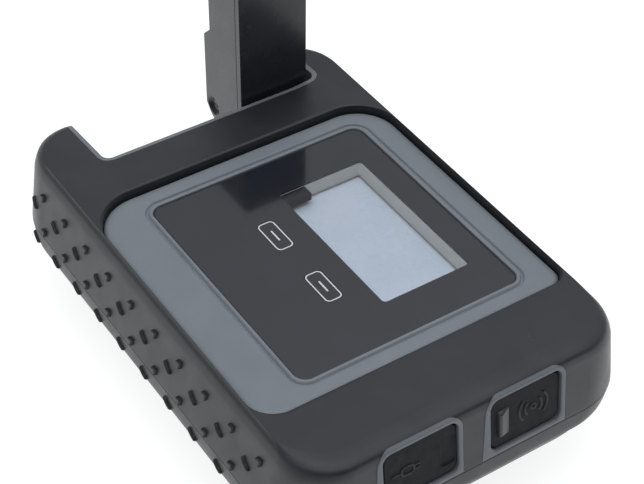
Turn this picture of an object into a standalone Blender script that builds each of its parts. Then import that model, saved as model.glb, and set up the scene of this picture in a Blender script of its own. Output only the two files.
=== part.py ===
"""Palm-size satellite hotspot terminal with a fold-up antenna.

Sizes are in millimetres and become metres once, where a mesh is made. The unit lies on its
back: +X runs towards the port side, +Y towards the top edge of the display, +Z out of the
display. The origin is under the middle of the outline, on the surface that the unit lies on.
"""
import math

import bmesh
import bpy
from mathutils import Matrix, Vector

MM = 0.001
GAP = 0.3                 # between pieces that touch
ARC = 6                   # points on each rounded corner

# Outline and height
BAY_END, PORT_END = -57.0, 56.3    # of the outline at the parting line
HALF_WIDTH = 38.0
CORNERS = (13.5, 15.5)    # of the outline, at the port end and at the bay end
TOP_CORNERS = (10.0, 13.0)
TOP = 32.0
PARTING = 17.2            # joint between the two shells
BAY_DROP = 2.4            # the middle of the top falls this far from the rim to the bay
PORT_DROP = 0.3
PORT_TILT, BAY_TILT = math.radians(7.5), math.radians(3.6)    # lean of the end walls
GRIP_TILT = math.radians(12.0)     # lean of the long side walls
WALL_TOP = 28.4           # the side walls are straight up to here
SHOULDERS = (             # above the walls: height, bay end, port end, half width
    (29.6, -56.2, 54.67, 35.3), (30.8, -56.1, 54.3, 34.8), (31.4, -55.74, 53.6, 34.4),
    (31.8, -55.2, 52.3, 34.15), (TOP, -54.5, 50.0, 34.1),
)
BELLY = (                 # below the parting line: height, port end, half width, corner
    (0.0, 37.5, 27.5, 12.5), (0.8, 39.5, 29.0, 13.0), (3.5, 44.5, 31.0, 13.5), (7.0, 50.5, 33.4, 16.5),
    (10.0, 54.3, 35.5, 17.5), (12.4, 55.6, 37.3, 17.0), (13.8, PORT_END, HALF_WIDTH, 16.0),
)

# Hollow inside the shells
HOLLOW_X = (-37.5, 53.4)
HOLLOW_HALF_WIDTH = 33.6
HOLLOW_CORNER = 26.8
FLOOR = 2.4
ROOF = 25.4

# Side grips
GRIP_DEPTH = 1.0

# Antenna bay, cut in from the -X end
BAY_X = -40.0
BAY_Y = (-22.6, 28.1)
BAY_CORNER = 1.8
LINER = 1.0

# Front panel
BEZEL_X, BEZEL_Y = (-27.4, 37.5), (-33.5, 33.5)
BEZEL_CORNERS = (3.0, 9.0, 9.5, 5.5)
BEZEL_Z = (26.9, 30.6)
BEZEL_LEDGE = 2.6         # under the edge of the glass
GLASS_X, GLASS_Y, GLASS_CORNER = (-22.0, 32.7), (-22.4, 26.6), 2.3
GLASS_Z = (29.1, 30.2)
WINDOW_X, WINDOW_Y, WINDOW_CORNER = (-12.6, 23.9), (1.5, 21.2), 0.9
KEY_CENTRES = {"left": -2.7, "right": 14.1}
KEY_Y, KEY_HALF_X, KEY_HALF_Y, KEY_CORNER = -5.5, 4.3, 1.9, 1.1

# Ports on the +X end, in the leaning plane of that wall
PORTS = {"usb": -11.8, "sos": 11.2}
PORT_HALF_WIDTH = 8.95
PORT_FLARE = 1.0          # the frames spread this far towards -Y at the parting line
PORT_V = (0.35, 14.0)
PORT_BAND = 1.0
COVER_RECESS = 0.35

# Antenna
ANTENNA_X = (-56.1, -41.1)
ANTENNA_Y = (10.2, 26.4)
ANTENNA_TIP = 60.5
ANTENNA_STEP_Z, ANTENNA_STEP_X = 41.2, -53.6
AXIS_Y, AXIS_Z = 18.3, 20.5
LID_X = -42.7
SHAFT = 2.6

# Battery side
WELL_X, WELL_Y, WELL_Z = (-30.5, 32.5), (-23.5, 23.5), (3.8, 17.1)
DOOR_X, DOOR_Y, DOOR_Z = (-31.0, 33.0), (-24.0, 24.0), (0.3, 2.2)
SCREW_X = -23.5

# Boards
MAIN_BOARD_Z = (19.4, 20.8)
FRONT_BOARD_Z = (24.2, 25.4)

SHELL_SCREWS = ((-43.5, -30.5), (-41.5, 33.0), (45.5, -30.5), (45.5, 30.5))


# ---------------------------------------------------------------- materials
COLOURS = {
    "rubber_black": ((0.028, 0.030, 0.034), 0.62, 0.0),
    "rubber_grip": ((0.045, 0.047, 0.052), 0.75, 0.0),
    "plastic_grey": ((0.20, 0.22, 0.24), 0.42, 0.0),
    "plastic_black": ((0.022, 0.023, 0.027), 0.38, 0.0),
    "panel_black": ((0.030, 0.032, 0.036), 0.12, 0.0),
    "clear_window": ((0.80, 0.84, 0.88), 0.05, 0.0),
    "display_pale": ((0.42, 0.50, 0.60), 0.35, 0.0),
    "frame_warm": ((0.38, 0.37, 0.35), 0.55, 0.0),
    "board_green": ((0.02, 0.12, 0.06), 0.50, 0.0),
    "steel": ((0.55, 0.55, 0.57), 0.28, 1.0),
    "brass": ((0.62, 0.45, 0.18), 0.30, 1.0),
    "ceramic": ((0.55, 0.50, 0.42), 0.50, 0.0),
    "battery_grey": ((0.10, 0.10, 0.11), 0.50, 0.0),
    "seal_rubber": ((0.06, 0.06, 0.06), 0.80, 0.0),
    "card_white": ((0.70, 0.70, 0.68), 0.50, 0.0),
    "sos_red": ((0.55, 0.04, 0.03), 0.45, 0.0),
}


def material(name):
    """The Principled material of one finish, made when first asked for."""
    found = bpy.data.materials.get(name)
    if found:
        return found
    colour, roughness, metallic = COLOURS[name]
    made = bpy.data.materials.new(name)
    made.use_nodes = True
    shader = made.node_tree.nodes["Principled BSDF"]
    shader.inputs["Base Color"].default_value = (*colour, 1.0)
    shader.inputs["Roughness"].default_value = roughness
    shader.inputs["Metallic"].default_value = metallic
    made.diffuse_color = (*colour, 1.0)
    return made


# ---------------------------------------------------------------- frames
def axes_frame(origin, x_axis, y_axis):
    """A frame in millimetres from its origin and its first two axes."""
    x_axis, y_axis = Vector(x_axis), Vector(y_axis)
    columns = Matrix((x_axis, y_axis, x_axis.cross(y_axis))).transposed()
    return Matrix.Translation(Vector(origin)) @ columns.to_4x4()


def along_x(x, y, z):
    """Local +Z points along +X."""
    return axes_frame((x, y, z), (0, 1, 0), (0, 0, 1))


def port_frame(y):
    """On the +X end wall: local x along +Y, y up the wall, z out of it."""
    up = (-math.sin(PORT_TILT), 0, math.cos(PORT_TILT))
    return axes_frame((PORT_END, y, PARTING), (0, 1, 0), up)


def grip_frame(side):
    """On a long side wall, side -1 or +1: local y up the wall, z out of it."""
    up = (0, -side * math.sin(GRIP_TILT), math.cos(GRIP_TILT))
    return axes_frame((0, side * HALF_WIDTH, PARTING), (-side, 0, 0), up)


WORLD = Matrix.Identity(4)


# ---------------------------------------------------------------- meshes
def add_object(name, points, faces, finish, frame=WORLD, origin=(0, 0, 0)):
    """A mesh object whose origin is at `origin` of its frame."""
    origin = Vector(origin)
    mesh = bpy.data.meshes.new(name)
    mesh.from_pydata([(Vector(p) - origin) * MM for p in points], [], faces)
    edit = bmesh.new()
    edit.from_mesh(mesh)
    bmesh.ops.recalc_face_normals(edit, faces=edit.faces)
    edit.to_mesh(mesh)
    edit.free()
    mesh.shade_smooth()
    mesh.set_sharp_from_angle(angle=math.radians(32))
    made = bpy.data.objects.new(name, mesh)
    bpy.context.collection.objects.link(made)
    place = frame @ Matrix.Translation(origin)
    place.translation *= MM
    made.matrix_world = place
    mesh.materials.append(material(finish))
    return made


def bridge(rings, closed):
    """The faces between neighbouring rings of equal length, with end caps or closed on itself."""
    count = len(rings[0])
    faces = []
    last = len(rings) if closed else len(rings) - 1
    for level in range(last):
        low, high = level * count, (level + 1) % len(rings) * count
        for i in range(count):
            j = (i + 1) % count
            faces.append((low + i, low + j, high + j, high + i))
    if not closed:
        faces.append(tuple(reversed(range(count))))
        faces.append(tuple(range((len(rings) - 1) * count, len(rings) * count)))
    return faces


def loft(name, rings, finish, closed=False, **place):
    points = [p for ring in rings for p in ring]
    return add_object(name, points, bridge(rings, closed), finish, **place)


def rectangle(x, y, radii, z, arc=ARC):
    """A ring of points round a rectangle at height z. Its corners have one radius, or four,
    anticlockwise from the +X +Y corner."""
    radii = radii if isinstance(radii, tuple) else (radii,) * 4
    corners = ((x[1], y[1]), (x[0], y[1]), (x[0], y[0]), (x[1], y[0]))
    ring = []
    for quarter, (cx, cy) in enumerate(corners):
        radius = max(radii[quarter], 0.05)
        centre_x = cx - radius if cx == x[1] else cx + radius
        centre_y = cy - radius if cy == y[1] else cy + radius
        for step in range(arc + 1):
            turn = math.pi / 2 * (quarter + step / arc)
            ring.append((centre_x + radius * math.cos(turn), centre_y + radius * math.sin(turn), z))
    return ring


def grown(span, by):
    return (span[0] - by, span[1] + by)


def eased(radii, by):
    """Corner radii of an outline that has moved outwards by `by`."""
    if isinstance(radii, tuple):
        return tuple(max(radius + by, 0.1) for radius in radii)
    return max(radii + by, 0.1)


def about(centre, half):
    return (centre - half, centre + half)


def slab(name, x, y, z, radius, finish, soft=0.0, arc=ARC, **place):
    """A plate with rounded corners, its rims softened by a chamfer."""
    rings = [rectangle(x, y, radius, z[0], arc), rectangle(x, y, radius, z[1], arc)]
    if soft:
        inner = (grown(x, -soft), grown(y, -soft), eased(radius, -soft))
        rings = [
            rectangle(*inner, z[0], arc), rectangle(x, y, radius, z[0] + soft, arc),
            rectangle(x, y, radius, z[1] - soft, arc), rectangle(*inner, z[1], arc),
        ]
    return loft(name, rings, finish, **place)


def frame_ring(name, outline, profile, finish, **place):
    """A rectangular frame: profile gives (inset from the outline, height) round its section."""
    x, y, radius = outline
    rings = [rectangle(grown(x, -inset), grown(y, -inset), radius - inset, z) for inset, z in profile]
    return loft(name, rings, finish, closed=True, **place)


def turned(name, profile, finish, closed=False, sides=28, **place):
    """A solid of revolution about local Z from (radius, height) pairs."""
    rings = []
    for radius, z in profile:
        turns = (2 * math.pi * i / sides for i in range(sides))
        rings.append([(radius * math.cos(t), radius * math.sin(t), z) for t in turns])
    return loft(name, rings, finish, closed=closed, **place)


def boolean(target, other, operation):
    step = target.modifiers.new(operation.lower(), "BOOLEAN")
    step.operation = operation
    step.solver = "EXACT"
    step.object = other
    other.hide_render = True
    other.display_type = "WIRE"


def cut(target, *cutters):
    for cutter in cutters:
        boolean(target, cutter, "DIFFERENCE")


def join(target, *others):
    for other in others:
        boolean(target, other, "UNION")


# ---------------------------------------------------------------- body
def body_ring(z, ends, half_width, corners):
    """An outline of the body; corners are for the port end and the bay end."""
    port_corner, bay_corner = corners
    radii = (port_corner, bay_corner, bay_corner, port_corner)
    return rectangle(ends, about(0.0, half_width), radii, z, arc=8)


def settled(point):
    """A point of the top, lowered towards the antenna bay and a little towards the ports."""
    x, y, z = point
    share = max(0.0, min(1.0, (z - 24.0) / (TOP - 24.0)))
    towards_bay = max(0.0, min(1.0, (BEZEL_X[0] - 1.0 - x) / 13.0))
    middle = 1.0 - max(0.0, min(1.0, (abs(y) - 22.0) / 12.0))
    towards_ports = max(0.0, min(1.0, (x - BEZEL_X[0]) / 80.0))
    return (x, y, z - share * (BAY_DROP * towards_bay * middle + PORT_DROP * towards_ports))


def upper_rings(bottom, inset=0.0):
    """The outside of the body above the parting line, or a surface inset from it: straight
    leaning walls, soft shoulders, and a top that rises to the rim of the bezel. The bay end
    stands nearly upright."""
    sections = []
    for z in (bottom, 20.0, 23.0, 26.0, WALL_TOP):
        rise = z - PARTING
        sections.append((z, BAY_END + rise * math.tan(BAY_TILT), PORT_END - rise * math.tan(PORT_TILT),
                         HALF_WIDTH - rise * math.tan(GRIP_TILT)))
    sections += SHOULDERS
    rings = []
    for z, bay_end, port_end, width in sections:
        straight = min(1.0, (z - PARTING) / (WALL_TOP - PARTING))
        corners = [low + (top - low) * straight - inset for low, top in zip(CORNERS, TOP_CORNERS)]
        rings.append(body_ring(z, grown((bay_end, port_end), -inset), width - inset, corners))
    rim = grown(BEZEL_X, 1.0 - inset)
    rings.append(rectangle(rim, about(0.0, 34.05 - inset), eased(BEZEL_CORNERS, 0.8), TOP, arc=8))
    return [[settled(point) for point in ring] for ring in rings]


def lower_rings(top):
    """The outside below the parting line: it draws in to the belly that holds the battery."""
    rings = []
    for z, port_end, half_width, corner in BELLY:
        ends = (-port_end + BAY_END + PORT_END, port_end)
        rings.append(body_ring(z, ends, half_width, (corner - 1.0, corner + 1.0)))
    return rings + [body_ring(top, (BAY_END, PORT_END), HALF_WIDTH, CORNERS)]


def bay_block(name, grow, z=(-2.0, 36.0)):
    """The space of the antenna bay, grown on its closed sides."""
    x = (BAY_END - 6.0, BAY_X + grow)
    return slab(name, x, grown(BAY_Y, grow), z, BAY_CORNER + grow, "plastic_grey")


def shaft_hole(name, radius, x=(-45.0, -31.0)):
    return turned(name, ((radius, 0.0), (radius, x[1] - x[0])), "steel", frame=along_x(x[0], AXIS_Y, AXIS_Z))


def hollow(name, z):
    return slab(name, HOLLOW_X, about(0.0, HOLLOW_HALF_WIDTH), z, HOLLOW_CORNER, "plastic_black")


def screw_hole(name, centre, radius, z):
    x, y = centre
    return turned(name, ((radius, z[0]), (radius, z[1])), "steel", sides=20,
                  frame=Matrix.Translation((x, y, 0)))


def grip_block(name, side, grow, depth):
    """The part of the body's long side within `depth` of its surface where the grip lies."""
    block = slab(name, grown((-45.0, 45.0), grow), grown((1.0, 11.1), grow), (-9.0, 5.0), 3.2 + grow,
                 "rubber_grip", frame=grip_frame(side))
    cut(block, loft(f"cut_core_{name}", upper_rings(PARTING - 2.0, depth), "rubber_grip"))
    return block


def port_hole(name, y):
    rings = [port_outline(-GAP, depth) for depth in (-8.0, 5.0)]
    return loft(name, rings, "rubber_black", frame=port_frame(y))


def top_shell():
    shell = loft("top_shell", upper_rings(PARTING + GAP / 2), "rubber_black")
    cut(shell, hollow("cut_top_hollow", (10.0, ROOF)), bay_block("cut_top_bay", LINER + GAP))
    cut(shell, slab("cut_bezel", grown(BEZEL_X, GAP), grown(BEZEL_Y, GAP), (BEZEL_Z[0] - GAP, 40.0),
                    eased(BEZEL_CORNERS, GAP), "rubber_black", arc=8))
    cut(shell, slab("cut_front_board", (-23.0, 34.0), (-26.5, 28.5), (20.0, 30.0), 4.0, "rubber_black"))
    for name, y in PORTS.items():
        cut(shell, port_hole(f"cut_top_{name}", y))
    for side, word in ((-1, "front"), (1, "rear")):
        cut(shell, grip_block(f"cut_{word}_pocket", side, GAP, GRIP_DEPTH + GAP))
    for number, centre in enumerate(SHELL_SCREWS, 1):
        cut(shell, screw_hole(f"cut_thread_{number}", centre, 1.5, (10.0, 26.0)))
    cut(shell, shaft_hole("cut_top_shaft", 4.5))


def bottom_shell():
    shell = loft("bottom_shell", lower_rings(PARTING - GAP / 2), "rubber_black")
    cut(shell, hollow("cut_bottom_hollow", (13.5, 30.0)), bay_block("cut_bottom_bay", LINER + GAP))
    cut(shell, slab("cut_well", grown(WELL_X, GAP), grown(WELL_Y, GAP), (FLOOR, 20.0), 3.3, "rubber_black"))
    cut(shell, slab("cut_door", grown(DOOR_X, GAP), grown(DOOR_Y, GAP), (-2.0, FLOOR + 1.0), 5.3,
                    "rubber_black"))
    for name, y in PORTS.items():
        cut(shell, port_hole(f"cut_bottom_{name}", y))
    for number, centre in enumerate(SHELL_SCREWS, 1):
        cut(shell, screw_hole(f"cut_clear_{number}", centre, 1.5, (8.0, 26.0)),
            screw_hole(f"cut_head_{number}", centre, 3.0, (-2.0, 13.6)))
    cut(shell, shaft_hole("cut_bottom_shaft", 4.5))


def bay_liner():
    """Hard plastic lining of the bay, its edges flush with the outside of the body."""
    liner = bay_block("bay_liner", LINER)
    outside = loft("cut_outside", lower_rings(PARTING)[:-1] + upper_rings(PARTING), "plastic_grey")
    boolean(liner, outside, "INTERSECT")
    cut(liner, bay_block("cut_liner_bay", 0.0, (-3.0, 37.0)), shaft_hole("cut_liner_shaft", SHAFT + GAP))


def grips():
    for side, word in ((-1, "front"), (1, "rear")):
        grip = grip_block(f"{word}_grip", side, 0.0, GRIP_DEPTH)
        skin = loft(f"cut_{word}_skin", upper_rings(PARTING), "rubber_grip")
        boolean(grip, skin, "INTERSECT")


def shell_seal():
    outline = (grown(HOLLOW_X, -GAP), about(0.0, HOLLOW_HALF_WIDTH - GAP), HOLLOW_CORNER - GAP)
    seal = frame_ring("shell_seal", outline, ((0.0, 17.0), (0.0, 19.0), (1.3, 19.0), (1.3, 17.0)),
                      "seal_rubber")
    cut(seal, shaft_hole("cut_seal_hinge", 5.2))


def shell_screws():
    for number, (x, y) in enumerate(SHELL_SCREWS, 1):
        profile = ((2.4, 11.4), (2.6, 11.8), (2.6, 13.2), (1.1, 13.3), (1.1, 23.5), (0.7, 24.2))
        turned(f"shell_screw_{number}", profile, "steel", sides=20, frame=Matrix.Translation((x, y, 0)))


# ---------------------------------------------------------------- front panel
def bezel():
    plate = slab("bezel", BEZEL_X, BEZEL_Y, BEZEL_Z, BEZEL_CORNERS, "plastic_grey", soft=0.35, arc=8)
    cut(plate, slab("cut_glass_seat", grown(GLASS_X, GAP), grown(GLASS_Y, GAP), (GLASS_Z[0] - GAP, 40.0),
                    GLASS_CORNER + GAP, "plastic_grey"))
    cut(plate, slab("cut_bezel_window", grown(GLASS_X, -BEZEL_LEDGE), grown(GLASS_Y, -BEZEL_LEDGE),
                    (20.0, 40.0), 2.0, "plastic_grey"))


def glass_panel():
    panel = slab("glass_panel", GLASS_X, GLASS_Y, GLASS_Z, GLASS_CORNER, "panel_black", soft=0.15)
    cut(panel, slab("cut_window", WINDOW_X, WINDOW_Y, (25.0, 35.0), WINDOW_CORNER, "panel_black"))
    for side, x in KEY_CENTRES.items():
        cut(panel, slab(f"cut_{side}_key", about(x, KEY_HALF_X + GAP), about(KEY_Y, KEY_HALF_Y + GAP),
                        (25.0, 35.0), KEY_CORNER + GAP, "panel_black"))
    slab("display_window", grown(WINDOW_X, -GAP), grown(WINDOW_Y, -GAP), GLASS_Z, WINDOW_CORNER - GAP,
         "clear_window", soft=0.1)


def keys():
    for side, x in KEY_CENTRES.items():
        centre = (x, KEY_Y, GLASS_Z[1])
        cap = slab(f"{side}_key", about(x, KEY_HALF_X), about(KEY_Y, KEY_HALF_Y), (28.5, GLASS_Z[1]),
                   KEY_CORNER, "panel_black", soft=0.12, origin=centre)
        flange = slab(f"join_{side}_flange", about(x, KEY_HALF_X + 0.7), about(KEY_Y, KEY_HALF_Y + 0.7),
                      (28.2, 28.8), 1.4, "panel_black")
        stem = turned(f"join_{side}_stem", ((0.9, 27.7), (0.9, 29.0)), "panel_black", sides=16,
                      frame=Matrix.Translation((x, KEY_Y, 0)))
        join(cap, flange, stem)
        base = slab(f"{side}_switch", about(x, 2.2), about(KEY_Y, 2.2), (25.7, 26.6), 0.4, "steel", soft=0.1)
        dome = turned(f"join_{side}_dome", ((1.5, 26.0), (1.5, 26.7), (0.8, 27.2)), "steel", sides=20,
                      frame=Matrix.Translation((x, KEY_Y, 0)))
        join(base, dome)


def display():
    outline = (grown(WINDOW_X, 2.0), grown(WINDOW_Y, 2.0), 1.6)
    frame_ring("display_frame", outline, ((0.0, 27.6), (0.0, 28.8), (2.0, 28.8), (2.0, 27.6)), "frame_warm")
    slab("display_module", grown(WINDOW_X, 2.2), grown(WINDOW_Y, 2.2), (25.7, 27.3), 0.8, "display_pale",
         soft=0.1)
    slab("display_flex", (WINDOW_X[0] + GAP, WINDOW_X[0] + 2.7), (WINDOW_Y[0] + GAP, WINDOW_Y[0] + 5.9),
         (27.6, 28.8), 0.9, "plastic_black", soft=0.2)
    slab("front_board", (-18.0, 28.5), (-19.0, 24.5), FRONT_BOARD_Z, 2.0, "board_green")


# ---------------------------------------------------------------- boards
def boards():
    board = slab("main_board", grown(HOLLOW_X, -1.4), about(0.0, HOLLOW_HALF_WIDTH - 1.4), MAIN_BOARD_Z,
                 HOLLOW_CORNER - 1.4, "board_green")
    cut(board, slab("cut_board_hinge", (-40.0, -32.2), about(AXIS_Y, 5.4), (10.0, 30.0), 0.8, "board_green"))
    shield_z = (MAIN_BOARD_Z[1] + GAP, 23.6)
    slab("modem_shield", (-26.0, 8.0), (-24.0, 10.0), shield_z, 1.2, "steel", soft=0.25)
    slab("wifi_shield", (12.0, 28.0), (-22.0, -6.0), shield_z, 1.2, "steel", soft=0.25)
    slab("wifi_antenna", (14.0, 26.0), (16.0, 20.0), (21.1, 22.6), 0.4, "ceramic", soft=0.2)


# ---------------------------------------------------------------- ports
def port_outline(inset, depth):
    """A ring round a port frame: round above, square below, its -Y foot spread out."""
    lower = 0.3 if inset <= 0.3 else 1.6
    upper = 2.8 - inset
    ring = rectangle(about(0.0, PORT_HALF_WIDTH - inset), grown(PORT_V, -inset), (upper, upper, lower, lower),
                     depth)
    flare = PORT_FLARE if inset <= 0.3 else 0.0
    height = PORT_V[1] - PORT_V[0]
    return [(x - flare * (PORT_V[1] - y) / height if x < 0.0 else x, y, z) for x, y, z in ring]


def port_pieces(name, y):
    place = {"frame": port_frame(y)}
    section = ((0.0, -2.6), (0.0, -0.1), (0.3, 0.2), (PORT_BAND - 0.2, 0.2), (PORT_BAND, 0.0),
               (PORT_BAND, -2.6))
    rings = [port_outline(inset, depth) for inset, depth in section]
    loft(f"{name}_frame", rings, "plastic_grey", closed=True, **place)
    inset = PORT_BAND + GAP
    cover_x, cover_y = about(0.0, PORT_HALF_WIDTH - inset), grown(PORT_V, -inset)
    face = -COVER_RECESS
    hinge_side = 1 if name == "sos" else -1
    hinge = (hinge_side * cover_x[1], sum(PORT_V) / 2, face)
    cover = slab(f"{name}_cover", cover_x, cover_y, (face - 1.5, face), 1.5, "plastic_black", soft=0.2,
                 origin=hinge, **place)
    tab_x = -hinge_side * (cover_x[1] - 1.5)
    tab = slab(f"join_{name}_tab", about(tab_x, 0.8), (3.4, 10.4), (face - 0.5, face + 0.7), 0.5,
               "plastic_black", soft=0.2, **place)
    join(cover, tab)


def usb_socket():
    """Micro socket on the main board: a metal sleeve open towards its cover."""
    place = {"frame": along_x(45.8, PORTS["usb"], 22.9)}
    sleeve = slab("usb_connector", about(0.0, 4.0), about(0.0, 1.5), (0.0, 5.6), 0.5, "steel", **place)
    cut(sleeve, slab("cut_socket", about(0.0, 3.5), about(0.0, 1.0), (1.0, 8.0), 0.3, "steel", **place))


def sos_button():
    place = {"frame": along_x(0.0, PORTS["sos"], 24.2)}
    cap = turned("sos_button", ((1.3, 48.3), (1.3, 49.4), (3.2, 49.5), (3.2, 51.4), (2.8, 51.8)), "sos_red",
                 origin=(0, 0, 51.8), **place)
    cap.modifiers.new("rim", "BEVEL").width = 0.1 * MM
    slab("sos_switch", about(0.0, 3.0), about(-0.5, 1.5), (43.6, 47.2), 0.4, "plastic_black", soft=0.2,
         **place)


# ---------------------------------------------------------------- antenna
def antenna_outline(x, z, tip, corner=1.0):
    """The antenna's side view: a half-round foot about the hinge axis and a square tip."""
    half = (ANTENNA_Y[1] - ANTENNA_Y[0]) / 2
    steps = 16
    turns = [math.pi * (1 + i / steps) for i in range(steps + 1)]
    foot = [(AXIS_Y + half * math.cos(turn), z + half * math.sin(turn)) for turn in turns]
    top = [(AXIS_Y + half, tip - corner), (AXIS_Y + half - corner, tip),
           (AXIS_Y - half + corner, tip), (AXIS_Y - half, tip - corner)]
    return [(x, y, height) for y, height in foot + top]


def antenna():
    axis = (ANTENNA_X[1], AXIS_Y, AXIS_Z)
    case_rings = [antenna_outline(x, AXIS_Z, ANTENNA_TIP) for x in (ANTENNA_X[0], LID_X - GAP)]
    case = loft("antenna_case", case_rings, "plastic_black", origin=axis)
    side = grown(ANTENNA_Y, 3.0)
    step = loft("cut_step", [[(-60.0, y, ANTENNA_STEP_Z - 1.2), (-60.0, y, 70.0),
                              (ANTENNA_STEP_X, y, 70.0), (ANTENNA_STEP_X, y, ANTENNA_STEP_Z + 1.2),
                              (ANTENNA_X[0], y, ANTENNA_STEP_Z - 1.2)] for y in side], "plastic_black")
    foot = loft("cut_foot", [[(-60.0, y, 5.0), (-60.0, y, 22.0), (ANTENNA_X[0], y, 22.0),
                              (-51.5, y, 16.5), (-51.5, y, 5.0)] for y in side], "plastic_black")
    room = slab("cut_room", (-52.0, -40.0), grown(ANTENNA_Y, -2.0), (26.5, ANTENNA_TIP - 2.0), 0.6,
                "plastic_black")
    cut(case, step, foot, room, shaft_hole("cut_case_shaft", SHAFT + GAP, (-47.5, -35.0)))
    seat = axes_frame((-53.0, ANTENNA_Y[0], 22.6), (1, 0, 0), (0, 0, 1))
    cut(case, turned("cut_screw_seat", ((1.6, -3.6), (1.6, 2.0)), "plastic_black", sides=20, frame=seat))
    turned("antenna_screw", ((0.9, -3.3), (1.3, -1.4), (1.3, -0.6), (1.1, -0.4)), "steel", sides=20,
           frame=seat)
    lid_rings = [antenna_outline(x, AXIS_Z, ANTENNA_TIP) for x in (LID_X, ANTENNA_X[1])]
    lid = loft("antenna_lid", lid_rings, "plastic_black", origin=axis)
    cut(lid, shaft_hole("cut_lid_shaft", SHAFT + GAP, (-48.0, -35.0)))
    turned("antenna_element", ((4.0, 27.5), (4.3, 28.0), (4.3, 56.5), (4.0, 57.0)), "ceramic",
           frame=Matrix.Translation((-47.6, AXIS_Y, 0)))


def hinge():
    turned("hinge_shaft", ((SHAFT, 0.0), (SHAFT, 14.2)), "steel", frame=along_x(-47.2, AXIS_Y, AXIS_Z))
    bush = ((SHAFT + GAP, 0.0), (4.2, 0.0), (4.2, 3.2), (SHAFT + GAP, 3.2))
    turned("hinge_bush", bush, "brass", closed=True, frame=along_x(-38.7, AXIS_Y, AXIS_Z))
    clip = ((SHAFT + 0.1, 0.0), (3.8, 0.0), (3.8, 0.9), (SHAFT + 0.1, 0.9))
    turned("hinge_clip", clip, "steel", closed=True, frame=along_x(-35.2, AXIS_Y, AXIS_Z))


# ---------------------------------------------------------------- battery side
def battery_well():
    well = slab("battery_well", WELL_X, WELL_Y, WELL_Z, 3.0, "plastic_black")
    room = slab("cut_room_battery", grown(WELL_X, -1.2), grown(WELL_Y, -1.2), (0.0, WELL_Z[1] - 1.0), 2.0,
                "plastic_black")
    post = screw_hole("cut_post", (SCREW_X, 0.0), 4.6, (5.0, 20.0))
    cut(room, post)
    cut(well, room, screw_hole("cut_insert", (SCREW_X, 0.0), 3.4 + GAP, (0.0, 13.0)))
    insert = ((1.8, 6.0), (3.4, 6.0), (3.4, 12.4), (1.8, 12.4))
    turned("screw_insert", insert, "brass", closed=True, frame=Matrix.Translation((SCREW_X, 0, 0)))


def battery():
    slab("battery_pack", (-17.0, 29.5), (-21.6, 21.6), (3.6, 13.8), 2.2, "battery_grey", soft=0.4)
    slab("battery_connector", (29.8, 30.9), (-6.0, 6.0), (4.2, 12.0), 0.3, "brass", soft=0.1)
    holder = slab("sim_holder", (2.0, 20.0), (-8.0, 8.0), (14.2, 15.8), 0.5, "steel")
    cut(holder, slab("cut_sim", (1.0, 18.8), (-6.4, 6.4), (13.0, 15.2), 0.3, "steel"))
    slab("sim_card", (3.0, 18.0), (-6.0, 6.0), (14.2, 14.9), 0.8, "card_white")


def battery_door():
    door = slab("battery_door", DOOR_X, DOOR_Y, DOOR_Z, 5.0, "plastic_black", soft=0.25)
    hole = Matrix.Translation((SCREW_X, 0, 0))
    cut(door, turned("cut_door_head", ((5.8, -1.0), (5.8, 1.5)), "plastic_black", frame=hole),
        turned("cut_door_shank", ((2.0, -1.0), (2.0, 4.0)), "plastic_black", frame=hole))
    outline = (grown(WELL_X, -0.2), grown(WELL_Y, -0.2), 2.8)
    frame_ring("door_seal", outline, ((0.0, 2.6), (0.0, 3.4), (1.0, 3.4), (1.0, 2.6)), "seal_rubber")
    head = turned("door_screw", ((5.2, 0.5), (5.2, 1.2), (1.4, 1.2), (1.4, 11.0), (1.0, 11.6)), "steel",
                  frame=hole)
    slot = turned("cut_ring_seat", ((4.6, 0.0), (4.6, 0.85), (3.1, 0.85), (3.1, 0.0)), "steel", closed=True,
                  frame=hole)
    cut(head, slot)
    wire = ((4.3, 0.1), (4.3, 0.6), (3.4, 0.6), (3.4, 0.1))
    ring = turned("door_ring", wire, "steel", closed=True, frame=hole, origin=(0, 3.85, 0.35))
    ring.modifiers.new("edge", "BEVEL").width = 0.08 * MM


def build():
    for found in list(bpy.data.objects):
        bpy.data.objects.remove(found)
    top_shell()
    bottom_shell()
    bay_liner()
    grips()
    shell_seal()
    shell_screws()
    bezel()
    glass_panel()
    keys()
    display()
    boards()
    for name, y in PORTS.items():
        port_pieces(name, y)
    usb_socket()
    sos_button()
    antenna()
    hinge()
    battery_well()
    battery()
    battery_door()


build()
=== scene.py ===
"""Looks of the palm-size satellite terminal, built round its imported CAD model.

Lengths are in millimetres, as the CAD's are, and become metres where a mesh is made. The unit
lies on its back: +X runs towards the ports, +Y towards the top edge of the display, +Z out of
the display.
"""
import math

import bmesh
import bpy
from mathutils import Matrix, Vector
from mathutils.bvhtree import BVHTree


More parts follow.
